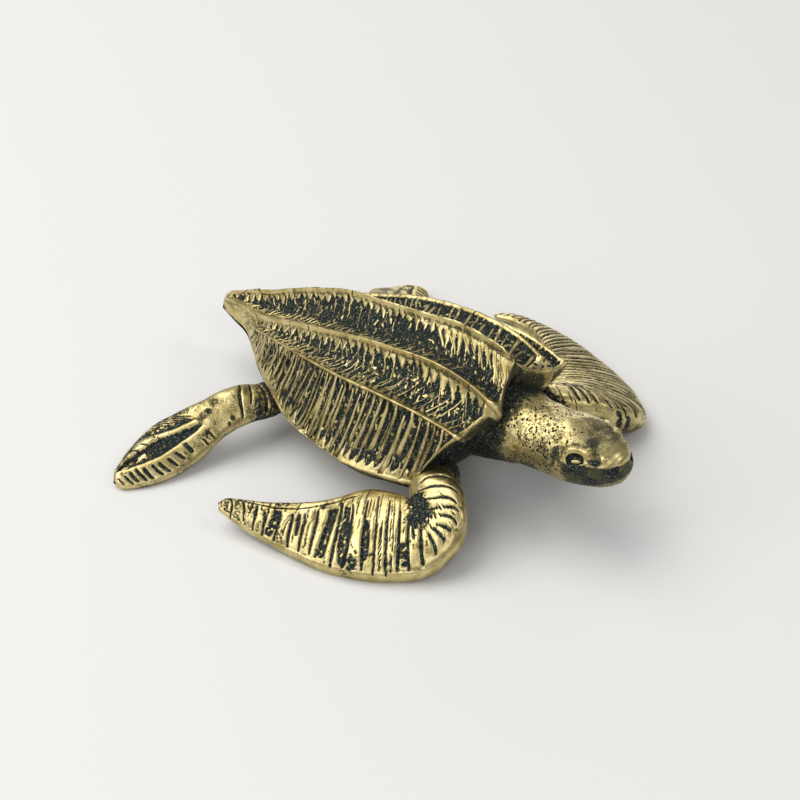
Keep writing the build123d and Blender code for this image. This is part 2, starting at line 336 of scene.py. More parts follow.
shell = {
    # place, keel height, then across and height of the inner ridge, the outer ridge and the margin
    "stations": [
        (-16.73, 17.07, 4.63, 14.05, 8.90, 11.70, 10.56, 6.27),
        (-10.96, 18.75, 5.10, 16.59, 9.46, 13.19, 11.22, 6.13),
        (-6.52, 19.10, 5.25, 17.10, 9.90, 13.81, 12.47, 5.99),
        (-2.08, 18.44, 5.44, 16.75, 9.87, 13.70, 13.20, 5.85),
        (4.14, 17.46, 5.24, 15.58, 9.50, 13.21, 12.28, 5.42),
        (9.02, 16.77, 4.65, 14.05, 8.45, 12.44, 11.09, 5.42),
        (13.90, 15.07, 4.03, 12.53, 7.05, 11.40, 8.65, 5.98),
        (18.34, 13.12, 3.30, 10.89, 5.50, 10.15, 5.95, 6.18),
        (21.01, 11.82, 2.60, 9.79, 3.70, 8.64, 3.96, 6.27),
        (23.67, 10.75, 1.72, 9.23, 2.07, 8.30, 2.24, 6.69),
        (26.34, 9.50, 1.02, 8.55, 1.36, 7.89, 1.52, 6.76),
        (29.00, 8.20, 0.46, 7.82, 0.66, 7.40, 0.77, 6.76),
    ],
    "tailEnd": 29.0,
    "farDrop": 0.55,
    "ridgeEnds": (-13.85, -15.4, -13.85, -9.5),
    "scallop": 0.7,
    "flute": 0.19,
    "band": 0.05,
    "crestHalf": (0.34, 0.34, 0.36),
    "crestDrop": 0.26,
    "wall": 2.5,
    "seat": 5.0,
    "tailLift": (19.2, 1.6),
    "frontRows": 10,
    "rows": 351,
    "tipRows": 24,
    "columnsPerHalf": (34, 34, 32, 8),
    # how the tail closes: the height of its middle, and how far before the end it starts to round off
    "tailMiddle": 7.35,
    "tailRound": 1.5,
    # the teeth are counted from ahead of the shell
    "toothCount": 90,
    "toothStart": -19,
    # where the teeth have shrunk away, over what run before it, and the least share of them that is left
    "taper": (28.4, 3, 0.15),
    "bareTail": (27.4, 27.9),
    "lipRise": 0.17,
    # teeth of the far half that are cut short, as flute and crest
    "shortFarTeeth": ((0, "lower"), (1, "upper"), (1, "lower")),
    # cracks across the crests: from where to where, the gap between two, their width and their depth
    "cracked": (-13.0, 27),
    "crackGap": (1.2, 6.0),
    "crackWidth": (0.05, 0.10),
    "crackDepth": 0.10,
    "hammer": 0.10,
    "fineHammer": 0.06,
    "groundRelief": 0.34,
    # painted shade on the front face under the rim
    "paintedFaceShade": 0.92,
    # painted shade on the underside
    "paintedUnderShade": 0.95,
    # how many rows and columns of the fine grid make one of the underside's
    "underStep": (4, 3),
    # bright teeth beside the crests, as flute, from the upper or the lower crest, pitch, slant, bare strip,
    # reach in front and at the tail, and how fast they thin out
    "teeth": [
        (0, "upper", 0.95, -0.55, 0.58, 2.5, 0.95, 1.0),
        (0, "lower", 0.95, -0.60, 0.26, 0.30, 0.62, 1.2),
        (1, "upper", 1.10, -0.42, 0.52, 1.55, 1.05, 1.0),
        (1, "lower", 0.80, -0.40, 0.22, 0.9, 1.25, 1.8),
        (2, "upper", 0.90, 0.20, 0.30, 0.9, 1.30, 1.6),
        (2, "lower", 0.90, 0.20, 0.34, 1.3, 1.50, 1.4),
    ],
    "step": 0.13,
    # how far back the bright lip reaches, across the front, on the near and the far half
    "lipPlaces": (0, 0.22, 0.36, 0.55, 0.86, 0.95, 1.02, 1.12, 1.3, 1.55, 1.9, 2.0, 2.08, 2.3, 2.6, 3.4),
    "lipReach": [
        (1.7, 1.5, 0.38, 0.06, 0.08, 0.7, 1.5, 1.2, 0.35, 0.28, 0.45, 0.8, 0.4, 0.22, 0.1, 0.1),
        (0.5, 0.0, 0.0, 0.2, 1.5, 2.0, 1.6, 0.5, 0.2, 0.2, 0.4, 0.8, 0.4, 0.22, 0.1, 0.1),
    ],
}


def shellUnderside(place):
    start, lift = shell["tailLift"]
    return shell["seat"] + lift * np.clip((place - start) / (shell["tailEnd"] - start), 0, 1)


# signed places across the shell: 0 is the keel, 1 and 2 the ridges, 3 the margin, and its foot lies past it
def shellColumns():
    half = []
    for interval, count in enumerate(shell["columnsPerHalf"]):
        part = np.arange(count) / count
        if interval < 3:
            part = 0.55 * part + 0.45 * (0.5 - 0.5 * np.cos(math.pi * part))
        half.append(interval + part * (1 if interval < 3 else 0.4))
    half = np.concatenate(half + [[3.4]])
    return np.concatenate([-half[:0:-1], half])


def shellFront(across):
    ends = shell["ridgeEnds"]
    place = np.clip(np.abs(across), 0, 3)
    index = np.minimum(place.astype(int), 2)
    part = place - index
    first, second = np.take(ends, index), np.take(ends, index + 1)
    dip = np.where(index < 2, shell["scallop"], 0.45) * 4 * part * (1 - part)
    return first + (second - first) * part + dip


# outer surface at a place along and across, with the flute's number, the place in it and its width
def shellSection(place, across):
    table = np.array(shell["stations"])
    values = smoothThrough(table[:, 0], table[:, 1:], place)
    zero = np.zeros_like(place)
    values[..., 4] -= shell["farDrop"] * smoothStep(place, -11.5, -4.0) * (across > 0)
    ridges = [np.stack([zero, values[..., 0]], -1), values[..., 1:3], values[..., 3:5], values[..., 5:7]]
    distance = np.abs(across)
    index = np.minimum(distance.astype(int), 2)
    part = np.clip(distance - index, 0, 1)
    pick = index[..., None]
    start = np.where(pick == 0, ridges[0], np.where(pick == 1, ridges[1], ridges[2]))
    end = np.where(pick == 0, ridges[1], np.where(pick == 1, ridges[2], ridges[3]))
    run = end - start
    length = np.maximum(np.linalg.norm(run, axis=-1), 1e-6)
    inward = np.stack([run[..., 1], -run[..., 0]], -1) / length[..., None]
    hollow = np.where(index < 2, shell["flute"], shell["band"]) * length * (4 * part * (1 - part)) ** 0.85
    halves = np.array(shell["crestHalf"])
    crestStart = np.minimum(halves[index], 0.2 * length)
    crestEnd = np.minimum(np.where(index < 2, halves[np.minimum(index + 1, 2)], 0.0001), 0.2 * length)
    fromStart = np.clip(part * length / crestStart, 0, 1)
    fromEnd = np.clip((1 - part) * length / crestEnd, 0, 1)
    drop = shell["crestDrop"] * np.minimum(1, length / 3)
    fall = 1 - np.sqrt(1 - fromStart**2)
    fallEnd = np.where(index < 2, 1 - np.sqrt(1 - fromEnd**2), 1)
    fall = np.minimum(fall, fallEnd)
    section = start + run * part[..., None] + inward * (hollow + drop * fall)[..., None]
    # the margin turns in to its foot
    turn = np.clip((distance - 3) / 0.4, 0, 1)
    foot = np.stack([np.maximum(values[..., 5] - 1.0, 0.55 * values[..., 5]), shellUnderside(place)], -1)
    turned = ridges[3] + (foot - ridges[3]) * np.stack([turn**2, np.sin(turn * math.pi / 2)], -1)
    section = np.where((distance > 3)[..., None], turned, section)
    side = np.where(across < 0, -1, 1)
    return np.stack([section[..., 0] * side, place, section[..., 1]], -1), index, part, length


# how bright the teeth are that reach from the crests into the flutes
def rubbedTeeth(rng, place, across, index, part, length, ragged):
    towardsTail = np.clip((place + 9) / 9, 0, 1)
    taperEnd, taperRun, taperLeast = shell["taper"]
    taper = np.clip((taperEnd - place) / taperRun, taperLeast, 1)
    count = shell["toothCount"]
    bright = np.zeros_like(place)
    for flute, side, pitch, slant, strip, reachFront, reachTail, thin in shell["teeth"]:
        away = (part if side == "upper" else 1 - part) * length
        lean = slant if side == "upper" else -slant
        knots = np.cumsum(rng.uniform(0.7, 1.3, count) * pitch) + shell["toothStart"]
        for half in (-1, 1):
            phase = np.interp(place - lean * away + 0.5 * half, knots, np.arange(count))
            tooth = np.minimum(phase.astype(int), count - 1)
            tip = np.abs(2 * (phase - tooth) - 1)
            reach = reachFront + (reachTail - reachFront) * towardsTail
            long = rng.uniform(0.45, 1.25, count)[tooth] * reach
            bare = strip * rng.uniform(0.55, 1.1, count)[tooth] * (1.5 - 0.5 * towardsTail)
            if half > 0 and (flute, side) in shell["shortFarTeeth"]:
                bare, long = 0.1 * bare, 0.45 * long
            edge = (bare + long * (1 - tip) ** thin) * taper
            edge = edge * (0.8 + 0.4 * ragged)
            here = (index == flute) & (across * half >= 0) & (np.abs(across) < 3)
            bright = np.maximum(bright, (1 - smoothStep(away, edge - 0.09, edge + 0.09)) * here)
    return bright


# short cracks across the crests, which deepen the lift and darken the patina that are given
def crackCrests(rng, place, across, onCrest, wander, lift, patina):
    distance = np.abs(across)
    nearest = np.round(np.clip(distance, 0, 3))
    start, end = shell["cracked"]
    for ridge, side in ((0, -1), (1, -1), (1, 1), (2, -1), (2, 1)):
        crack = start + rng.random() * 2
        while crack < end:
            here = onCrest & (nearest == ridge) & ((across * side >= 0) | (ridge == 0))
            lean = (distance - ridge) * rng.uniform(-4, 4) + wander
            wide, deep = rng.uniform(*shell["crackWidth"]), rng.uniform(0.3, 1.0)
            cut = np.exp(-((place - crack - lean) / wide) ** 2) * here * deep
            lift -= shell["crackDepth"] * cut
            np.maximum(patina, 0.8 * smoothStep(cut, 0.25, 0.8), out=patina)
            crack += rng.uniform(*shell["crackGap"])


# the underside's points and faces: a coarser grid, stitched to the edges of the fine one
def shellUnder(grid, across):
    rowCount, columns = grid.shape[:2]
    rowStep, columnStep = shell["underStep"]
    assert (rowCount - 1) % rowStep == 0 and (columns - 1) % columnStep == 0, (rowCount, columns)
    coarseRows, coarseColumns = (rowCount - 1) // rowStep + 1, (columns - 1) // columnStep + 1
    side = grid[::rowStep, 0, 1]
    run = (side - side[0]) / (side[-1] - side[0])
    start, end = grid[0, ::columnStep, 1], grid[-1, ::columnStep, 1]
    place = start[None, :] + (end[None, :] - start[None, :]) * run[:, None]
    section = shellSection(np.clip(place, -15.4, 29), np.broadcast_to(across[::columnStep], place.shape))[0]
    vault = np.stack([section[..., 0] * 0.80, place, 4.5 + (section[..., 2] - 4.5) * 0.80], -1)
    flat = np.stack([section[..., 0] * 0.97, place, shellUnderside(place)], -1)
    mix = smoothStep(place, -12.5, -9.5)[..., None]
    inner = vault * (1 - mix) + flat * mix
    points, faces = [], []
    number = np.zeros((coarseRows, coarseColumns), int)
    for r in range(coarseRows):
        for c in range(coarseColumns):
            if r in (0, coarseRows - 1) or c in (0, coarseColumns - 1):
                number[r, c] = r * rowStep * columns + c * columnStep
            else:
                number[r, c] = rowCount * columns + len(points)
                points.append(inner[r, c])
    for r in range(coarseRows - 1):
        for c in range(coarseColumns - 1):
            loop = [number[r, c]]
            if r == 0:
                loop += [c * columnStep + k for k in range(1, columnStep)]
            loop.append(number[r, c + 1])
            if c == coarseColumns - 2:
                loop += [(r * rowStep + k) * columns + columns - 1 for k in range(1, rowStep)]
            loop.append(number[r + 1, c + 1])
            if r == coarseRows - 2:
                loop += [(rowCount - 1) * columns + (c + 1) * columnStep - k for k in range(1, columnStep)]
            loop.append(number[r + 1, c])
            if c == 0:
                loop += [((r + 1) * rowStep - k) * columns for k in range(1, rowStep)]
            faces.append([int(value) for value in loop])
    return points, faces


def buildShell():
    across = shellColumns()
    fore, rows, tipRows = shell["frontRows"], shell["rows"], shell["tipRows"]
    columns = len(across)
    front = shellFront(across)
    tip = 1.5 / 43
    closing = 1 - tip * np.cos(np.linspace(0, math.pi / 2, tipRows + 1))[1:]
    share = np.concatenate([np.linspace(0, 1 - tip, rows - tipRows), closing])
    place = front[None, :] + (shell["tailEnd"] - front[None, :]) * share[:, None]
    acrossGrid = np.broadcast_to(across, place.shape)
    outer, index, part, length = shellSection(place, acrossGrid)
    distance = np.abs(acrossGrid)
    nearest = np.round(np.clip(distance, 0, 3))
    fromRidge = np.abs(distance - nearest) * length
    crestWidth = np.take((*shell["crestHalf"], 0.5), nearest.astype(int))
    onCrest = (nearest < 3) & (fromRidge < np.minimum(crestWidth, 0.22 * length))
    fromFront = place - front[None, :]
    normal = gridNormals(outer, False)
    normal *= np.sign(normal[rows // 2, columns // 2, 2])

    # patina lies in the flutes, and the crests, their teeth, the lips and the margin are rubbed bright
    rng = np.random.default_rng(11)
    ragged, crackled = cloud(outer, 0.45, 12), cloud(outer, 0.3, 16) - 0.5
    crestWidth = np.take((*shell["crestHalf"], 0.26), nearest.astype(int))
    crestEdge = np.minimum(crestWidth, 0.24 * length)
    crestEdge = crestEdge * np.where((acrossGrid > 0) & (nearest > 0), 0.55, 1)
    bright = 1 - smoothStep(fromRidge, 1.0 * crestEdge, 1.25 * crestEdge)
    bright = np.maximum(bright, rubbedTeeth(rng, place, acrossGrid, index, part, length, ragged))
    # the metal is bare where the flutes run out towards the tail
    full = np.take((0.55, 1.15, 2.0), index)
    bright = np.maximum(bright, 1 - smoothStep(length, full, 1.4 * full))
    bright = np.maximum(bright, smoothStep(place, *shell["bareTail"]))
    # the margin is rubbed bright at its edge; past that, where it turns in under the shell, the dark left
    # there is patina and painted shade
    bright = np.maximum(bright, (1 - smoothStep(distance, 3.04, 3.12)) * (distance >= 3))
    patina = 0.97 * (1 - bright)
    olive = (1 - smoothStep((1 - part) * length, 0.4, 1.3)) * (index == 0) * (acrossGrid > 0)
    patina -= 0.5 * olive * smoothStep(ragged, 0.3, 0.55) * patina
    # lips where the ridges end, and a thin bright edge along the scallops
    nearReach, farReach = (np.interp(distance, shell["lipPlaces"], reach) for reach in shell["lipReach"])
    reach = np.where(acrossGrid < 0, nearReach, farReach)
    rim = (1 - smoothStep(fromFront, 0.8 * reach, 1.05 * reach + 0.1)) * smoothStep(reach, 0.0, 0.05)
    patina *= 1 - rim
    lift = shell["lipRise"] * rim * np.exp(-((fromFront - 0.45 * reach) / (0.5 * reach + 0.12)) ** 2)
    lift = lift - shell["step"] * smoothStep(patina, 0.25, 0.75) * (distance < 3)
    # the tip of the keel is rounded down
    lift -= 0.30 * np.exp(-(fromFront / 0.9) ** 2 - (across / 0.10) ** 2)
    # the far inner ridge ends in a pitted lip
    farInner = (acrossGrid > 0.6) * (acrossGrid < 1.0) * (fromFront > 0.25)
    pitLip = rim * farInner * smoothStep(cloud(outer, 0.36, 13), 0.5, 0.62)
    patina = np.maximum(patina, 0.9 * pitLip)
    lift = lift - 0.12 * pitLip
    # glints on the rough cast ground of the flutes
    ground = smoothStep(patina, 0.5, 0.8) * (distance < 3)
    streaks = outer * np.array([0.45, 1.25, 0.45])
    streaks[..., 1] += 0.6 * np.abs(outer[..., 0])
    rough = 0.55 * cloud(outer, 0.27, 14) + 0.45 * cloud(streaks, 0.30, 15)
    patina = patina - ground * 0.85 * smoothStep(rough - 0.04 * (index == 0), 0.62, 0.75)
    lift = lift + ground * shell["groundRelief"] * (rough - 0.5)

    crackCrests(rng, place, acrossGrid, onCrest, 0.12 * crackled, lift, patina)
    # hammered unevenness everywhere, coarser in the flutes
    lift = lift + hammered(outer, shell["hammer"], 1.1, 5) + hammered(outer, shell["fineHammer"], 0.4, 6)
    outer = outer + normal * lift[..., None]

    # the tail closes to a blunt end
    tail = np.clip((place - shell["tailEnd"] + shell["tailRound"]) / shell["tailRound"], 0, 1)
    middle = np.stack([0 * place, place, shell["tailMiddle"] + 0 * place], -1)
    shrink = np.sqrt(np.maximum(1 - tail**2.5, 0))[..., None]
    outer = middle + (outer - middle) * np.maximum(shrink, 0.1)
    outer[..., 2] = np.maximum(outer[..., 2], shellUnderside(place))

    # the front face turns under the rim, into painted shade
    depth = np.linspace(1, 0, fore + 1)[:-1]
    wall = shell["wall"] * np.interp(np.abs(across), (0, 1, 2, 2.5, 3, 3.4), (1.0, 1.1, 1.0, 0.6, 0.3, 0.0))
    edge = outer[0]
    toCentre = np.stack([-edge[:, 0], 0 * across, 4.5 - edge[:, 2]], -1)
    toCentre /= np.linalg.norm(toCentre, axis=-1, keepdims=True)
    face = np.array([edge + toCentre * (wall * deep)[:, None] for deep in depth])
    back = (0.55 * depth**2)[:, None] * wall / shell["wall"]
    face[..., 1] += back - 0.16 * np.sin(math.pi * depth)[:, None]
    # painted shade darkens the face, less where the inner ridges end
    bare = np.exp(-((np.abs(across) - 1.04) / 0.13) ** 4) * 0.75
    faceShadePainted = smoothStep(depth[:, None] - bare, 0.0, 0.10) * shell["paintedFaceShade"]
    grid = np.concatenate([face, outer])
    dark = np.concatenate([faceShadePainted, patina])
    # darker in hollows and lighter on crests: patina in the recesses and rubbed crests, with painted shade
    # like ambient occlusion in the hollows
    upward = np.sign(gridNormals(grid, False)[fore + rows // 2, columns // 2, 2])
    dark = dark + np.clip(hollowDepth(grid, False) * upward * 7, -0.5, 0.5)
    rowCount = len(grid)
    # the underside gets an even painted shade
    underPoints, underFaces = shellUnder(grid, across)
    points = np.vstack([grid.reshape(-1, 3), underPoints])
    faces = gridFaces(rowCount, columns, False).tolist() + underFaces
    shade = np.concatenate([dark.ravel(), np.full(len(underPoints), shell["paintedUnderShade"])])
    piece = castPiece("shell", points, faces, shade, brass)
    # where each point lies along and across, for the ribs to follow
    spread = np.zeros((len(points), 2), np.float32)
    along = np.concatenate([(-0.06 - 0.004 * depth)[:, None] + 0 * across, (place + 15.4) / 44.4])
    spread[: along.size, 0] = along.ravel()
    spread[: along.size, 1] = np.broadcast_to(0.5 + across / 6.8, along.shape).ravel()
    loops = np.zeros(len(piece.data.loops), np.int32)
    piece.data.loops.foreach_get("vertex_index", loops)
    spread = spread[loops]
    spread[4 * (rowCount - 1) * (columns - 1):] = (-0.5, -0.5)
    piece.data.uv_layers.new(name="shellPlace")
    piece.data.uv_layers["shellPlace"].data.foreach_set("uv", spread.ravel())
    return piece


shellPiece = buildShell()
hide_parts("carapace")
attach(shellPiece, "root")
print("shell ready", len(shellPiece.data.polygons))


# Ribs that stand in the flutes and on the side bands

ribs = {
    "height": 0.17,
    "sink": 0.18,
    "seed": 7,
    # side (0 both, -1 near, 1 far), then a number for each of the labels below
    "families": {
        "sideBandRear": (0, 25, 0.42, 0.87, 2.06, 2.98, 2.05, 2.97, 0.0070, 0.0120, 0.040, 1.3, 0.55),
        "sideBandRearFine": (0, 19, 0.43, 0.86, 2.40, 2.97, 2.35, 2.96, 0.0030, 0.0050, 0.030, 0.9, 0.7),
        "sideBandFront": (0, 17, 0.08, 0.44, 2.06, 2.97, 2.05, 2.98, 0.0095, 0.0170, 0.024, 1.6, 0.5),
        "sideBandFrontFine": (0, 9, 0.12, 0.42, 2.30, 2.90, 2.30, 2.94, 0.0035, 0.0060, 0.020, 1.0, 0.7),
        "keelStripsFront": (0, 11, 0.03, 0.26, 0.12, 0.66, 0.12, 0.46, 0.0130, 0.0070, -0.046, 1.1, 0.6),
        "keelThreads": (0, 16, 0.40, 0.92, 0.18, 0.46, 0.20, 0.50, 0.0050, 0.0022, -0.018, 0.8, 0.8),
        "innerThreads": (0, 26, 0.05, 0.90, 1.14, 1.52, 1.20, 1.56, 0.0052, 0.0024, -0.020, 0.8, 0.8),
        "farRope": (1, 15, 0.03, 0.40, 0.94, 0.48, 0.94, 0.60, 0.0120, 0.0060, -0.016, 1.2, 0.6),
        "nearRope": (-1, 12, 0.16, 0.42, 0.95, 0.70, 0.95, 0.72, 0.0060, 0.0030, -0.022, 0.8, 0.7),
        "innerRope": (0, 34, 0.42, 0.90, 0.94, 0.76, 0.92, 0.62, 0.0085, 0.0035, -0.018, 0.9, 0.7),
        "outerStrokesRear": (0, 31, 0.28, 0.89, 1.95, 1.50, 1.94, 1.42, 0.0062, 0.0024, -0.030, 0.8, 0.7),
        "outerStrokesFront": (0, 14, 0.03, 0.30, 1.92, 1.40, 1.94, 1.46, 0.0060, 0.0030, -0.030, 0.9, 0.8),
        "groundFlecks": (0, 20, 0.04, 0.84, 0.50, 0.62, 0.52, 0.66, 0.0040, 0.0030, -0.006, 0.7, 0.9),
        "groundFlecksOuter": (0, 34, 0.04, 0.84, 1.48, 1.62, 1.46, 1.60, 0.0040, 0.0030, -0.006, 0.7, 0.9),
    },
}


ribLabels = ("Count", "From", "To", "Start in front", "End in front", "Start at tail", "End at tail",
             "Root width", "Tip width", "Slant", "Height", "Unevenness")


def ribTree():
    tree = bpy.data.node_groups.new("shellRibs", "GeometryNodeTree")
    sockets = {}

    def expose(label, kind, default=None):
        socket = tree.interface.new_socket(label, in_out="INPUT", socket_type=kind)
        if default is not None:
            socket.default_value = default
        sockets[label] = socket.identifier

    expose("Ribs so far", "NodeSocketGeometry")
    expose("Shell", "NodeSocketObject")
    expose("Count", "NodeSocketInt", 10)
    for label in (*ribLabels[1:], "Sink", "Side"):
        expose(label, "NodeSocketFloat", 0.0)
    expose("Seed", "NodeSocketInt", 0)
    expose("Finish", "NodeSocketMaterial")
    tree.interface.new_socket("Ribs", in_out="OUTPUT", socket_type="NodeSocketGeometry")
    size = {socket.name: Field(socket) for socket in addNode(tree, "NodeGroupInput").outputs[:-1]}

    def between(first, second, share):
        return first + (second - first) * share

    # a node with its inputs fed by name or by number, and its first output
    def grow(kind, inputs, **settings):
        node = addNode(tree, kind, **settings)
        for key, value in inputs.items():
            feed(node.inputs[key], value)
        return Field(node.outputs[0])

    def chance(offset):
        seed = size["Seed"] + float(offset)
        node = grow("FunctionNodeRandomValue", {"ID": number, "Seed": seed}, data_type="FLOAT").socket.node
        return Field(node.outputs[1]) - 0.5

    # one block for each rib, with the rib's number on its points
    line = grow("GeometryNodeMeshLine", {"Count": size["Count"], "Offset": (0.0, 0.0, 0.0)}, mode="OFFSET")
    index = grow("GeometryNodeInputIndex", {})
    tag = grow("GeometryNodeStoreNamedAttribute", {"Geometry": line, "Name": "ribNumber", "Value": index},
               data_type="FLOAT", domain="POINT")
    block = grow("GeometryNodeMeshCube",
                 {"Size": (1.0, 1.0, 1.0), "Vertices X": 6, "Vertices Y": 4, "Vertices Z": 2})
    onLine = grow("GeometryNodeInstanceOnPoints", {"Points": tag, "Instance": block})
    blocks = grow("GeometryNodeRealizeInstances", {0: onLine})
    number = grow("GeometryNodeInputNamedAttribute", {"Name": "ribNumber"}, data_type="FLOAT")
    position = grow("GeometryNodeInputPosition", {})
    local = [Field(socket) for socket in grow("ShaderNodeSeparateXYZ", {0: position}).socket.node.outputs]
    run, width = local[0] + 0.5, local[1]

    # where each point of a rib lies, along and across the shell
    share = number / (size["Count"] - 1.0)
    pitch = (size["To"] - size["From"]) / size["Count"]
    uneven = size["Unevenness"]
    place = between(size["From"], size["To"], share) + chance(1) * uneven * pitch
    start = between(size["Start in front"], size["Start at tail"], share)
    end = between(size["End in front"], size["End at tail"], share)
    across = start + (end - start) * (run * (chance(2) * uneven + 1.0) + chance(7) * uneven * 0.30)
    thick = between(size["Root width"], size["Tip width"], run) * (chance(3) * uneven + 1.0)
    wave = (run * (chance(4) * 8.0 + 4.0)).math("SINE") * (pitch * (chance(5) * 0.22))
    along = (place + wave) + (size["Slant"] * run + thick * width)
    spot = grow("ShaderNodeCombineXYZ", {0: along, 1: size["Side"] * (across / 6.8) + 0.5})

    shellInfo = grow("GeometryNodeObjectInfo", {"Object": size["Shell"]}, transform_space="RELATIVE")
    surface = Field(shellInfo.socket.node.outputs["Geometry"])
    unwrapped = grow("GeometryNodeInputNamedAttribute", {"Name": "shellPlace"}, data_type="FLOAT_VECTOR")

    def onShell(field):
        inputs = {"Mesh": surface, "Value": field, "Source UV Map": unwrapped, "Sample UV": spot}
        return grow("GeometryNodeSampleUVSurface", inputs, data_type="FLOAT_VECTOR")

    # each rib has a rounded back, and falls away at both ends
    back = 1.0 - (width * 2.0).math("ABSOLUTE").math("POWER", 2.6)
    ends = 1.0 - (run * 2.0 - 1.0).math("ABSOLUTE").math("POWER", 5.0)
    rise = back * ends * (size["Height"] * (chance(6) * uneven + 1.0))
    top = local[2].math("GREATER_THAN", 0.0)
    level = rise * top - size["Sink"] * (1.0 - top * 0.7)
    push = grow("ShaderNodeVectorMath", {0: onShell(grow("GeometryNodeInputNormal", {})), "Scale": level},
                operation="SCALE")
    placed = grow("ShaderNodeVectorMath", {0: onShell(position), 1: push}, operation="ADD")
    # the patina is kept before the points move, while the block is still square
    patina = addMath(tree, "SUBTRACT", 0.9, back * top * (chance(8) * 0.45 + 0.80), clamp=True)
    shade = grow("GeometryNodeStoreNamedAttribute", {"Geometry": blocks, "Name": "patina", "Value": patina},
                 data_type="FLOAT", domain="POINT")
    moved = grow("GeometryNodeSetPosition", {"Geometry": shade, "Position": placed})
    both = grow("GeometryNodeJoinGeometry", {0: moved})
    feed(both.socket.node.inputs[0], size["Ribs so far"])
    flat = grow("GeometryNodeRealizeInstances", {0: both})
    coat = grow("GeometryNodeSetMaterial", {"Geometry": flat, "Material": size["Finish"]})
    feed(addNode(tree, "NodeGroupOutput").inputs[0], coat)
    return tree, sockets


def buildRibs():
    tree, sockets = ribTree()
    carrier = addObject("ribCarrier", bpy.data.meshes.new("ribCarrier"))
    seed = ribs["seed"]
    for family, (halves, *values) in ribs["families"].items():
        for side in (-1.0, 1.0) if halves == 0 else (float(halves),):
            modifier = carrier.modifiers.new(family, "NODES")
            modifier.node_group = tree
            for label, value in zip(ribLabels, values):
                modifier[sockets[label]] = value * ribs["height"] * metre if label == "Height" else value
            modifier[sockets["Shell"]] = shellPiece
            modifier[sockets["Sink"]] = ribs["sink"] * metre
            modifier[sockets["Side"]] = side
            modifier[sockets["Seed"]] = seed
            modifier[sockets["Finish"]] = brass
            seed += 10
    seen = bpy.context.evaluated_depsgraph_get()
    grown = carrier.evaluated_get(seen)
    mesh = bpy.data.meshes.new_from_object(grown, preserve_all_data_layers=True, depsgraph=seen)
    carrier.modifiers.clear()
    bpy.data.objects.remove(carrier)
    faceOutwards(mesh)
    mesh.name = "shellRibs"
    return addObject("shellRibs", mesh)


ribPiece = buildRibs()
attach(ribPiece, "root")
print("ribs ready", len(ribPiece.data.polygons))


# Flippers

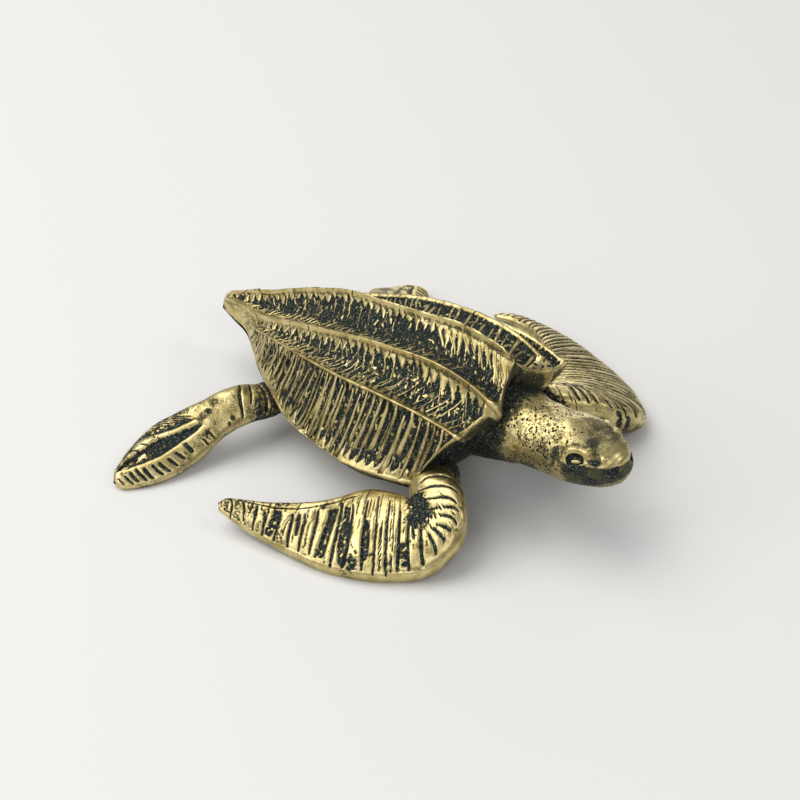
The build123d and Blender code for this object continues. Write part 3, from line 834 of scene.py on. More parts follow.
frontBoth = {
    "seat": (5.8, -10.2, 5.1), "root": (5.4, 4.8, 2.6), "thickness": 3.0,
    # rows and columns of the skin, and how boxy its edges and its top are
    "grid": (350, 160, (0.62, 0.8, 0.8)),
    "grooveDepth": (0.13, 0.22), "scratchDepth": 0.05, "paintedUnderShade": 0.56,
}
frontRight = {
    **frontBoth, "side": -1, "reach": 19.1, "sweep": 17.0,
    "rows": [
        (0.24, -0.34, 1.05, 0.295, 0.07, 1.0, 1.7),
        (0.4, -0.46, 0.64, 0.36, 0.0, 1.0, 1.62),
        (0.59, -0.415, 0.26, 0.37, 0.0, 0.98, 1.38),
        (0.77, -0.22, 0.13, 0.37, 0.085, 0.94, 1.2),
        (0.88, -0.015, 0.11, 0.385, 0.19, 0.88, 1.1),
        (0.94, 0.21, 0.11, 0.44, 0.295, 0.84, 1.0),
        (0.96, 0.425, 0.13, 0.595, 0.385, 0.8, 0.93),
        (0.975, 0.63, 0.17, 0.735, 0.55, 0.72, 0.86),
        (0.985, 0.79, 0.24, 0.83, 0.73, 0.66, 0.77),
        (0.99, 0.905, 0.34, 0.89, 0.875, 0.62, 0.62),
        (1.0, 0.985, 0.44, 0.93, 1.005, 0.56, 0.34),
    ],
    # grooves: share along and place over the chord at the inner end, middle and outer end, then width
    "grooves": [
        (0.998, 0.80, 0.985, -0.30, 0.977, -0.90, 0.12),
        (0.965, 0.60, 0.935, -0.36, 0.927, -0.97, 0.20),
        (0.925, 0.57, 0.897, -0.19, 0.877, -0.72, 0.20),
        (0.882, 0.46, 0.855, -0.29, 0.837, -0.91, 0.22),
        (0.845, 0.10, 0.815, -0.47, 0.800, -0.91, 0.34),
        (0.799, 0.12, 0.772, -0.48, 0.759, -0.91, 0.28),
        (0.769, 0.21, 0.734, -0.47, 0.714, -0.91, 0.30),
        (0.737, 0.25, 0.699, -0.43, 0.679, -0.90, 0.24),
        (0.707, 0.36, 0.669, -0.34, 0.649, -0.87, 0.26),
        (0.672, 0.36, 0.641, -0.32, 0.630, -0.89, 0.44),
        (0.654, 0.56, 0.604, -0.32, 0.584, -0.97, 0.34),
        (0.612, 0.47, 0.566, -0.29, 0.554, -0.95, 0.34),
        (0.566, 0.62, 0.529, -0.19, 0.504, -0.92, 0.32),
        (0.529, 0.77, 0.491, -0.16, 0.476, -0.97, 0.18),
        (0.471, 0.71, 0.459, -0.12, 0.446, -0.97, 0.24),
        (0.421, 0.49, 0.421, -0.32, 0.421, -0.92, 0.24),
        (0.388, 0.28, 0.398, -0.32, 0.396, -0.91, 0.28),
        (0.358, 0.00, 0.366, -0.48, 0.366, -0.86, 0.34),
        (0.338, -0.16, 0.333, -0.48, 0.333, -0.77, 0.24),
        (0.323, -0.12, 0.311, -0.38, 0.308, -0.69, 0.26),
        (0.308, -0.16, 0.296, -0.32, 0.286, -0.66, 0.22),
        (0.313, 0.12, 0.271, -0.27, 0.263, -0.69, 0.24),
        (0.306, 0.30, 0.256, -0.12, 0.233, -0.66, 0.26),
        (0.288, 0.55, 0.233, 0.00, 0.218, -0.59, 0.24),
        (0.251, 0.75, 0.201, 0.09, 0.183, -0.77, 0.22),
        (0.211, 0.69, 0.155, 0.00, 0.138, -0.79, 0.20),
        (0.170, 0.70, 0.118, 0.05, 0.100, -0.80, 0.13),
        (0.140, 0.75, 0.088, 0.00, 0.070, -0.80, 0.11),
        (0.817, 0.32, 0.794, -0.32, 0.784, -0.84, 1.15),
        (0.659, 0.39, 0.634, -0.29, 0.617, -0.87, 0.95),
        (0.624, 0.42, 0.581, -0.34, 0.556, -0.90, 1.15),
        (0.534, 0.14, 0.514, -0.32, 0.506, -0.73, 0.80),
        (0.411, -0.27, 0.409, -0.59, 0.406, -0.84, 0.70),
        (0.749, 0.19, 0.722, -0.30, 0.709, -0.54, 0.48),
    ],
    # dark or bright places: share along, place over the chord, radius, rise, patina
    "places": [
        (0.335, 0.34, 2.0, -0.22, 0.64), (0.350, 0.75, 1.5, -0.10, 0.60), (0.372, 0.12, 1.2, -0.06, 0.45),
        (0.539, -0.84, 0.9, -0.08, 0.8), (0.496, -0.61, 0.65, -0.06, 0.8), (0.446, -0.73, 0.42, -0.06, 0.8),
        (0.459, 0.75, 0.8, 0.16, -0.6), (0.215, -0.10, 2.6, 0.0, 0.17), (0.300, 0.62, 1.1, -0.10, 0.9),
        (0.702, 0.53, 0.5, -0.04, 0.5), (0.370, 0.95, 1.0, 0.0, 0.5),
    ],
    # a dark line along the inner edge, as share along and place over the chord
    "innerLine": ((0.60, 0.652, 0.677, 0.709, 0.764, 0.83, 0.905, 0.985),
                  (0.75, 0.67, 0.60, 0.60, 0.46, 0.42, 0.62, 0.72)),
    # where the rim ends and the painted shade of the underside begins, and how far out the root stays in
    # painted shade
    "rim": (0.26, 0.48), "paintedShadeBelow": (0.1, 0.6), "paintedRootShade": (2.2, 3.8),
    "scratches": 80, "scratchFrom": 0.42,
    # how bold the grooves are, how stained the metal is all over and behind the grooves, and how much
    # painted shade darkens the tip
    "bold": 1.0, "mottle": 0.26, "paintedTipShade": 0.33, "stray": 0.55,
    "seed": 21,
}
frontLeft = {
    **frontBoth, "side": 1, "reach": 20.6, "sweep": 17.6,
    "rows": [
        (0.24, -0.33, 1.05, 0.285, 0.05, 1.0, 1.7),
        (0.42, -0.45, 0.68, 0.365, -0.02, 1.0, 1.62),
        (0.60, -0.455, 0.28, 0.38, -0.01, 0.98, 1.38),
        (0.765, -0.29, 0.13, 0.38, 0.07, 0.94, 1.2),
        (0.88, -0.055, 0.11, 0.395, 0.18, 0.88, 1.1),
        (0.95, 0.17, 0.11, 0.455, 0.285, 0.84, 1.0),
        (0.995, 0.395, 0.13, 0.6, 0.38, 0.79, 0.90),
        (1.01, 0.61, 0.16, 0.74, 0.54, 0.68, 0.78),
        (1.005, 0.78, 0.20, 0.835, 0.72, 0.57, 0.62),
        (0.98, 0.925, 0.26, 0.87, 0.90, 0.49, 0.48),
        (0.925, 1.04, 0.32, 0.86, 1.035, 0.41, 0.26),
    ],
    # long lines cross the blade, and arcs run round the shoulder
    "grooves": [
        (0.975, 0.85, 0.968, 0.00, 0.960, -0.85, 0.14), (0.952, 0.90, 0.943, 0.00, 0.932, -0.90, 0.13),
        (0.932, 0.90, 0.917, 0.05, 0.905, -0.80, 0.18), (0.905, 0.95, 0.892, 0.00, 0.882, -0.95, 0.13),
        (0.886, 0.90, 0.873, 0.00, 0.858, -0.85, 0.20), (0.862, 0.95, 0.849, 0.05, 0.836, -0.90, 0.14),
        (0.846, 0.90, 0.832, 0.00, 0.822, -0.70, 0.16), (0.820, 0.95, 0.806, 0.00, 0.797, -0.95, 0.20),
        (0.800, 0.85, 0.786, 0.00, 0.777, -0.80, 0.13), (0.777, 0.92, 0.768, 0.00, 0.759, -0.92, 0.18),
        (0.757, 0.90, 0.745, 0.00, 0.738, -0.70, 0.13), (0.735, 0.92, 0.724, 0.00, 0.713, -0.90, 0.22),
        (0.716, 0.80, 0.705, 0.00, 0.697, -0.85, 0.14), (0.694, 0.92, 0.684, 0.05, 0.674, -0.92, 0.18),
        (0.672, 0.85, 0.656, 0.00, 0.640, -0.85, 0.22), (0.655, 0.92, 0.636, 0.00, 0.618, -0.92, 0.14),
        (0.634, 0.80, 0.612, 0.05, 0.588, -0.80, 0.16), (0.612, 0.92, 0.588, 0.00, 0.560, -0.92, 0.13),
        (0.590, 0.85, 0.566, 0.00, 0.538, -0.85, 0.14), (0.565, 0.92, 0.545, 0.00, 0.515, -0.92, 0.13),
        (0.540, 0.80, 0.522, 0.05, 0.490, -0.85, 0.13), (0.512, 0.92, 0.500, 0.00, 0.462, -0.92, 0.14),
        (0.485, 0.85, 0.480, 0.00, 0.436, -0.92, 0.14), (0.451, 0.73, 0.459, 0.05, 0.408, -0.85, 0.24),
        (0.430, 0.80, 0.432, 0.05, 0.372, -0.80, 0.18), (0.400, 0.70, 0.404, 0.05, 0.352, -0.90, 0.26),
        (0.372, 0.60, 0.374, 0.05, 0.322, -0.75, 0.20), (0.351, 0.39, 0.338, 0.00, 0.301, -0.96, 0.30),
        (0.325, 0.45, 0.310, 0.05, 0.285, -0.70, 0.20), (0.300, 0.50, 0.290, 0.10, 0.268, -0.97, 0.28),
        (0.273, 0.40, 0.270, 0.00, 0.252, -0.80, 0.22), (0.246, 0.45, 0.238, -0.10, 0.228, -0.86, 0.26),
        (0.231, 0.35, 0.208, -0.36, 0.193, -0.85, 0.24), (0.200, 0.30, 0.182, -0.40, 0.170, -0.88, 0.26),
        (0.180, 0.10, 0.160, -0.40, 0.148, -0.80, 0.20),
    ],
    "places": [
        (0.20, 0.45, 2.0, -0.15, 1.0), (0.33, 0.60, 1.3, -0.10, 0.8), (0.245, -0.98, 0.50, -0.25, 1.0),
        (0.275, -1.00, 0.35, -0.20, 0.9), (0.165, -0.85, 0.7, 0.06, -0.7), (0.215, -0.93, 0.8, 0.06, -0.7),
        (0.36, -0.99, 1.6, 0.0, 0.5), (0.30, -0.70, 0.9, 0.05, -0.5), (0.41, -0.60, 0.8, -0.05, 0.6),
    ],
    # past the edge, so this one shows no such line
    "innerLine": ((0.30, 0.97), (3.0, 3.0)),
    "rim": (0.0, 0.14), "paintedShadeBelow": (-0.55, 0.2), "paintedRootShade": (3.4, 4.6),
    "scratches": 110, "scratchFrom": 0.10,
    "bold": 1.35, "mottle": 0.05, "paintedTipShade": 0.0, "stray": 0.25,
    "seed": 34,
}
rearBoth = {
    "seat": (5.6, 14.6, 3.5), "root": (4.4, 2.5, 3.2), "sweep": 7.5, "thickness": 2.8,
    "grid": (280, 150, (0.8, 0.85, 0.85)),
    "grooveDepth": 0.16, "hipRise": 0.70, "paintedUnderShade": 0.50,
    "rows": [
        (0.33, -0.16, 1.02, 0.31, 0.41, 1.62, 0.94),
        (0.46, -0.04, 0.84, 0.43, 0.56, 1.40, 0.96),
        (0.605, 0.01, 0.50, 0.54, 0.78, 1.10, 0.95),
        (0.75, 0.09, 0.26, 0.67, 0.95, 0.80, 0.82),
        (0.885, 0.22, 0.15, 0.805, 0.98, 0.48, 0.70),
        (0.99, 0.40, 0.12, 0.92, 0.90, 0.33, 0.56),
        (1.06, 0.58, 0.12, 1.02, 0.80, 0.24, 0.46),
    ],
    # where the near lobe's crest and the middle lobe lie over the chord, along the flipper
    "crest": [(0.5, -0.22), (0.574, -0.28), (0.684, -0.30), (0.757, -0.30), (0.837, -0.20), (0.92, 0.0),
              (0.985, 0.35)],
    "middleLobe": [(0.5, 0.05), (0.594, 0.14), (0.64, 0.20), (0.69, 0.33), (0.757, 0.50), (0.80, 0.56),
                   (0.86, 0.64), (0.93, 0.8)],
    # the middle lobe is broken through once, and swells beyond that
    "break": 0.722, "swell": 0.785,
    "grooves": [
        (0.980, -0.30, 0.972, -0.70, 0.965, -0.94, 0.20), (0.950, -0.30, 0.937, -0.70, 0.927, -0.95, 0.28),
        (0.920, -0.22, 0.912, -0.60, 0.902, -0.89, 0.34), (0.885, -0.24, 0.880, -0.60, 0.865, -0.92, 0.38),
        (0.852, -0.36, 0.847, -0.70, 0.835, -0.92, 0.42), (0.810, -0.42, 0.802, -0.70, 0.787, -0.92, 0.40),
        (0.779, -0.44, 0.769, -0.70, 0.752, -0.91, 0.46), (0.732, -0.48, 0.719, -0.72, 0.707, -0.87, 0.40),
        (0.689, -0.44, 0.677, -0.63, 0.662, -0.81, 0.44), (0.632, -0.34, 0.624, -0.57, 0.614, -0.79, 0.48),
        (0.760, 0.98, 0.720, 0.84, 0.690, 0.70, 0.13), (0.725, 0.96, 0.685, 0.80, 0.650, 0.62, 0.15),
        (0.690, 0.94, 0.650, 0.75, 0.615, 0.56, 0.15), (0.660, 0.92, 0.615, 0.70, 0.580, 0.50, 0.15),
        (0.630, 0.90, 0.585, 0.66, 0.550, 0.46, 0.15), (0.600, 0.88, 0.560, 0.62, 0.530, 0.42, 0.14),
        (0.860, 0.80, 0.830, 0.50, 0.812, 0.28, 0.13), (0.800, 0.60, 0.775, 0.38, 0.755, 0.16, 0.13),
        (0.225, 0.86, 0.308, -0.27, 0.330, -0.85, 0.40), (0.175, 0.86, 0.215, 0.26, 0.262, -0.40, 0.28),
        (0.125, 0.86, 0.165, -0.10, 0.215, -0.92, 0.50), (0.600, -0.92, 0.560, -0.945, 0.430, -0.93, 0.10),
        (0.505, -0.55, 0.498, -0.72, 0.490, -0.90, 0.16), (0.545, -0.60, 0.538, -0.76, 0.530, -0.90, 0.18),
    ],
    "places": [
        (0.451, 0.23, 0.30, -0.08, 0.6), (0.509, -0.50, 0.30, -0.08, 0.6), (0.375, -0.62, 0.24, -0.06, 0.7),
        (0.40, -0.78, 0.20, -0.05, 0.6), (0.56, -0.12, 0.5, -0.05, 0.4), (0.53, -0.60, 0.6, 0.0, 0.25),
    ],
}
rearRight = {**rearBoth, "side": -1, "reach": 20.9, "relief": 1.0}
# the far one's paddle is flatter, and its edge grooves are finer
rearLeft = {**rearBoth, "side": 1, "reach": 18.0, "relief": 0.2}
nearMarks = rearBoth["grooves"]
rearLeft["grooves"] = [(*mark[:6], 0.5 * mark[6]) for mark in nearMarks[:10]] + nearMarks[18:]


# the straight root starts rounded: share of its run, half length and thickness
rootRings = ((0, 0.14, 0.30), (0.30, 0.34, 0.72), (0.75, 0.47, 0.96))


# a limb's skin as rings, with each point's run in millimetres and its place over the chord and above it
def limbSkin(limb):
    rows, columns, boxy = limb["grid"]
    seatX, seatY, seatZ = limb["seat"]
    length, depth, straight = limb["root"]
    table = []
    for part, half, deep in rootRings:
        x, wide = seatX + straight * part, length * half
        table.append((x, seatY - wide, seatZ, x, seatY + wide, seatZ, depth * deep))
    for out, back, height, outT, backT, heightT, thick in limb["rows"]:
        table.append((seatX + out * limb["reach"], seatY + back * limb["sweep"], height * seatZ,
                      seatX + outT * limb["reach"], seatY + backT * limb["sweep"], heightT * seatZ,
                      thick * limb["thickness"]))
    table = np.array(table)
    middle = (table[:, 0:3] + table[:, 3:6]) / 2
    middle = middle + (table[:, 0:3] - middle) * 0.35
    knots = np.concatenate([[0], np.cumsum(np.linalg.norm(np.diff(middle, axis=0), axis=1))])
    run = np.linspace(0, knots[-1], rows)
    values = smoothThrough(knots, table, run)
    leading, trailing = values[:, 0:3], values[:, 3:6]
    half = (trailing - leading) / 2
    centre = (trailing + leading) / 2
    thickness = values[:, 6] / 2
    chord = np.linalg.norm(half, axis=1)
    unit = half / chord[:, None]
    rise = np.array([0, 0, 1.0]) - unit * unit[:, 2:3]
    rise /= np.linalg.norm(rise, axis=1, keepdims=True)
    cosine, sine = ringTurns(columns)
    over = signedPower(cosine, np.where(cosine < 0, boxy[0], boxy[1]))
    up = signedPower(sine, boxy[2])
    # the tip rounds off
    tip = np.sqrt(np.clip(1 - smoothStep(run, knots[-1] - 0.9, knots[-1]) ** 2, 0.03, 1))
    grid = (centre[:, None] + half[:, None] * (over[None, :, None] * tip[:, None, None])
            + rise[:, None] * (up[None, :, None] * (thickness * tip)[:, None, None]))
    normal = gridNormals(grid, True) * outwardSign(grid, centre[:, None])
    level = 0 * run[:, None]
    return grid, normal, run[:, None] + 0 * over, over + level, up + level, chord


def finishLimb(name, node, limb, grid, normal, lift, patina):
    grid = grid + normal * lift[..., None]
    grid[..., 2] = np.maximum(grid[..., 2], 0)
    grid[..., 0] *= limb["side"]
    piece = tubePiece(name, grid, patina, 0.16 + 0 * patina, brass)
    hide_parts(node)
    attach(piece, "root")
    print(name, "ready", len(piece.data.polygons))
    return piece


# how much of a groove lies at each point, for a line bent through three points over the chord
def grooveCut(runs, overs, total, line, wobble):
    inner, innerOver, middle, middleOver, outer, outerOver, width = line
    at = np.clip(overs, outerOver, innerOver)
    fromOuter, fromMiddle, fromInner = at - outerOver, at - middleOver, at - innerOver
    reach, first, second = innerOver - outerOver, middleOver - outerOver, innerOver - middleOver
    outerPull = outer * fromMiddle * fromInner / (first * reach)
    middlePull = middle * fromOuter * fromInner / (first * second)
    innerPull = inner * fromOuter * fromMiddle / (reach * second)
    away = np.abs(runs - total * (outerPull - middlePull + innerPull) - wobble)
    part = np.clip((overs - outerOver) / (innerOver - outerOver), 0, 1)
    wide = width * (0.45 + 0.55 * np.sqrt(np.sin(math.pi * part).clip(0, 1)))
    ends = smoothStep(overs, outerOver - 0.03, outerOver + 0.04)
    ends *= 1 - smoothStep(overs, innerOver - 0.05, innerOver + 0.03)
    return (1 - smoothStep(away, 0.35 * wide, 0.5 * wide + 0.07)) * ends


# a soft round mound at a place on a limb, 1 high
def moundAt(runs, overs, chord, share, over, radius):
    away = np.hypot(runs - share * runs[-1, 0], (overs - over) * chord[:, None]) / radius
    return np.exp(-away**2)


def buildFrontFlipper(name, node, limb):
    grid, normal, runs, overs, ups, chord = limbSkin(limb)
    total = runs[-1, 0]
    share = runs / total
    rng = np.random.default_rng(limb["seed"])
    top = smoothStep(ups, 0.05, 0.4)
    onTop = smoothStep(ups, -0.35, 0.0)
    fromRim = (overs + 1) * chord[:, None]
    # a narrow bright rim stands along the leading edge of the near flipper
    rim = 1 - smoothStep(fromRim, *limb["rim"])
    lift = 0.07 * (rim - 1) * top
    coarse, ragged, fine = cloud(grid, 1.3, limb["seed"]), cloud(grid, 0.4, 8), cloud(grid, 0.24, 7)
    patina = 0.06 + limb["mottle"] * smoothStep(coarse, 0.40, 0.75) * (1 - rim)
    # painted shade darkening towards the tip
    patina += limb["paintedTipShade"] * smoothStep(share, 0.62, 0.92) * (1 - rim)
    bumpy = hammered(grid, 0.11, 0.8, 90) + 0.06 * (ragged - 0.5)
    shares, places = limb["innerLine"]
    beyond = (overs - np.interp(share, shares, places)) * chord[:, None]
    edgeLine = np.exp(-(beyond / 0.10) ** 2) * smoothStep(share, shares[0], shares[1]) * onTop
    lift -= 0.12 * edgeLine
    patina = np.maximum(patina, 0.95 * edgeLine)
    for line in limb["grooves"]:
        line = (*line[:6], line[6] * limb["bold"])
        cut = grooveCut(runs, overs, total, line, bumpy * rng.uniform(-1, 1)) * onTop
        lift -= limb["bold"] * rng.uniform(*limb["grooveDepth"]) * cut
        patina = np.maximum(patina, cut * rng.uniform(0.85, 1.0))
        # the ground just behind a groove is stained in places
        inner, innerOver, middle, middleOver, outer, outerOver, width = line
        back = 0.35 / total
        stain = (inner - back, innerOver, middle - back, middleOver, outer - back, outerOver, 0.5)
        shade = grooveCut(runs, overs, total, stain, bumpy) * onTop
        shade *= smoothStep(coarse + 0.5 * ragged, 0.70, 0.95)
        patina = np.maximum(patina, limb["stray"] * shade)
    # short thin scratches between the grooves
    table = np.array(limb["grooves"])
    table = table[np.argsort(table[:, 2])]
    slants = (table[:, 0] - table[:, 4]) / (table[:, 1] - table[:, 5])
    for _ in range(limb["scratches"]):
        middle = rng.uniform(limb["scratchFrom"], 0.99)
        over0 = rng.uniform(-0.8, 0.7)
        long = rng.uniform(0.12, 0.5)
        lean = np.interp(middle, table[:, 2], slants)
        line = (middle + lean * long, over0 + long, middle, over0, middle - lean * long, over0 - long, 0.06)
        cut = grooveCut(runs, overs, total, line, bumpy * rng.uniform(-1, 1)) * onTop * (1 - rim)
        lift -= limb["scratchDepth"] * cut
        patina = np.maximum(patina, rng.uniform(0.4, 0.85) * cut)
    for place, middleOver, radius, rise, dark in limb["places"]:
        mound = moundAt(runs, overs, chord, place, middleOver, radius) * smoothStep(ups, -0.6, 0.0)
        lift += rise * mound
        patina += dark * mound * (0.55 + 0.9 * (0.6 * ragged + 0.4 * fine))
    # painted shade where it goes under the shell and on the underside
    darkTo, brightFrom = limb["paintedRootShade"]
    patina = np.maximum(patina, 0.95 * (1 - smoothStep(runs, darkTo, brightFrom + ragged)))
    under = smoothStep(-ups - 0.65 * smoothStep(overs, 0.2, 0.6), *limb["paintedShadeBelow"])
    patina = np.maximum(patina, limb["paintedUnderShade"] * under)
    lift += hammered(grid, 0.07, 0.9, 9) + 0.09 * (fine - 0.5) * top * smoothStep(patina, 0.1, 0.5)
    patina -= 0.5 * smoothStep(fine, 0.62, 0.8) * smoothStep(patina, 0.5, 0.8)
    lift *= smoothStep(total - runs, 0.0, 0.5)
    return finishLimb(name, node, limb, grid, normal, lift, patina)


def buildRearFlipper(name, node, limb):
    grid, normal, runs, overs, ups, chord = limbSkin(limb)
    total = runs[-1, 0]
    share = runs / total
    onTop = smoothStep(ups, -0.3, 0.1)
    ragged, coarse = cloud(grid, 0.35, 60), cloud(grid, 1.2, 5)
    patina = 0.28 + 0.20 * smoothStep(coarse, 0.35, 0.7)
    lift = hammered(grid, 0.08, 0.9, 62)
    # on the paddle a dark hollow parts a bright near lobe from a bright middle one, with a hatched far edge
    crest = np.interp(share, *zip(*limb["crest"]))
    middle = np.interp(share, *zip(*limb["middleLobe"]))
    paddle = smoothStep(share, 0.50, 0.58) * smoothStep(ups, 0.0, 0.4) * limb["relief"]
    fromCrest = (overs - crest) * chord[:, None]
    fromMiddle = (overs - middle) * chord[:, None]
    broken = np.exp(-((share - limb["break"] + 0.03 * (ragged - 0.5)) / 0.016) ** 2)
    swell = np.exp(-((share - limb["swell"]) / 0.05) ** 2)
    halfLobe = 0.26 + 0.34 * swell
    beforeLobe = 1 - smoothStep(fromMiddle, -halfLobe - 0.14, -halfLobe + 0.06)
    hollow = smoothStep(fromCrest, 0.02, 0.22) * beforeLobe * paddle
    farHollow = smoothStep(fromMiddle, halfLobe, halfLobe + 0.22) * paddle
    lift += paddle * 0.16 * np.exp(-((fromCrest + 0.12) / np.where(fromCrest > -0.12, 0.26, 0.9)) ** 2)
    lift += paddle * (0.16 + 0.14 * swell) * np.exp(-(fromMiddle / (halfLobe + 0.1)) ** 2) * (1 - broken)
    lift -= 0.30 * hollow + 0.10 * farHollow
    patina = np.maximum(patina, hollow * (0.70 + 0.5 * ragged))
    patina = np.maximum(patina, farHollow * (0.58 + 0.4 * ragged))
    patina = np.maximum(patina, 0.9 * broken * paddle * smoothStep(fromCrest, 0.0, 0.25))
    # past the swell only the near lobe stays bright, with mottled dark ground beyond it
    beyond = smoothStep(share, 0.81, 0.86) * smoothStep(fromCrest, 0.05, 0.28) * paddle
    lift -= 0.16 * beyond
    patina = np.maximum(patina, beyond * (0.50 + 0.5 * ragged))
    patina -= 0.75 * hollow * smoothStep(share, 0.74, 0.80) * smoothStep(cloud(grid, 0.5, 65), 0.55, 0.68)
    # the hip stands higher than the knee
    lift += limb["hipRise"] * (1 - smoothStep(share, 0.16, 0.31)) * smoothStep(ups, -0.1, 0.5)
    for line in limb["grooves"]:
        cut = grooveCut(runs, overs, total, line, 0.10 * (ragged - 0.5)) * onTop
        lift -= limb["grooveDepth"] * cut
        patina = np.maximum(patina, cut)
    for place, middleOver, radius, rise, dark in limb["places"]:
        mound = moundAt(runs, overs, chord, place, middleOver, radius) * onTop
        lift += rise * mound
        patina += dark * mound * (0.6 + 0.8 * ragged)
    # painted shade where it goes under the shell, and on the underside
    patina = np.maximum(patina, 0.9 * (1 - smoothStep(share + 0.08 * overs, 0.18, 0.22 + 0.04 * ragged)))
    patina = np.maximum(patina, limb["paintedUnderShade"] * smoothStep(-ups, 0.1, 0.6))
    patina -= 0.5 * smoothStep(cloud(grid, 0.24, 63), 0.6, 0.75) * smoothStep(patina, 0.5, 0.8)
    lift += hammered(grid, 0.10, 0.26, 64) * smoothStep(patina, 0.4, 0.7)
    lift *= smoothStep(total - runs, 0.0, 0.5)
    return finishLimb(name, node, limb, grid, normal, lift, patina)


buildFrontFlipper("flipperFrontRight", "front_flipper_right", frontRight)
buildFrontFlipper("flipperFrontLeft", "front_flipper_left", frontLeft)
buildRearFlipper("flipperRearRight", "rear_flipper_right", rearRight)
buildRearFlipper("flipperRearLeft", "rear_flipper_left", rearLeft)


# Head and neck

headShape = {
    # place, half width, height of the middle, half height above and below it
    "stations": [
        (-10.5, 5.3, 9.5, 4.9, 4.7),
        (-13.0, 4.88, 9.72, 4.46, 4.46),
        (-15.0, 4.29, 9.62, 3.97, 3.97),
        (-17.0, 3.85, 9.78, 3.50, 3.50),
        (-19.0, 3.85, 9.98, 3.33, 3.35),
        (-21.0, 4.09, 10.19, 3.25, 3.29),
        (-23.0, 4.31, 10.35, 3.12, 3.15),
        (-25.0, 3.89, 10.40, 2.79, 2.79),
        (-26.84, 2.93, 10.35, 2.40, 2.36),
        (-28.0, 2.02, 10.42, 1.72, 1.80),
        (-28.5, 1.36, 10.40, 1.12, 1.24),
        (-28.7, 0.5, 10.35, 0.42, 0.45),
    ],
    "rows": 290, "columns": 270,
    # raised and sunken marks of the face: across, place, height, radius along and up, rise, patina
    "marks": [
        (3.5, -22.2, 11.4, 1.1, 0.9, -0.10, 0.35),
        (2.33, -25.5, 12.55, 0.42, 0.42, 0.26, -0.4),
        (1.88, -27.1, 12.12, 0.30, 0.30, 0.20, -0.4),
        (2.60, -26.55, 11.80, 0.60, 0.36, -0.14, 0.55),
        (0.0, -27.6, 12.35, 1.3, 1.5, 0.06, -0.45),
        (1.28, -28.3, 11.20, 0.40, 0.32, -0.42, 1.1),
        (0.0, -24.7, 13.2, 1.7, 1.2, -0.30, 0.2),
        (0.0, -21.4, 13.4, 1.6, 1.5, 0.16, -0.1),
    ],
    # middle of the lid's bead, the way up over the skin there, and the tilt of the eye
    "eye": (3.57, -24.78, 11.69),
    "eyeUp": (-0.70, 0.0, 0.714),
    "eyeTilt": 22.7,
    "pits": 1500,
    "pitSize": (0.045, 0.115),
    "pitDepth": 0.08,
    "pitShade": 0.80,
    # how dark the jaw is, how much painted shade the throat and the collar under the rim get, and where the
    # collar ends
    "jawShade": 0.68,
    "paintedThroatShade": 0.60,
    "paintedCollarShade": 0.85,
    "collar": (14.6, 16.4),
}


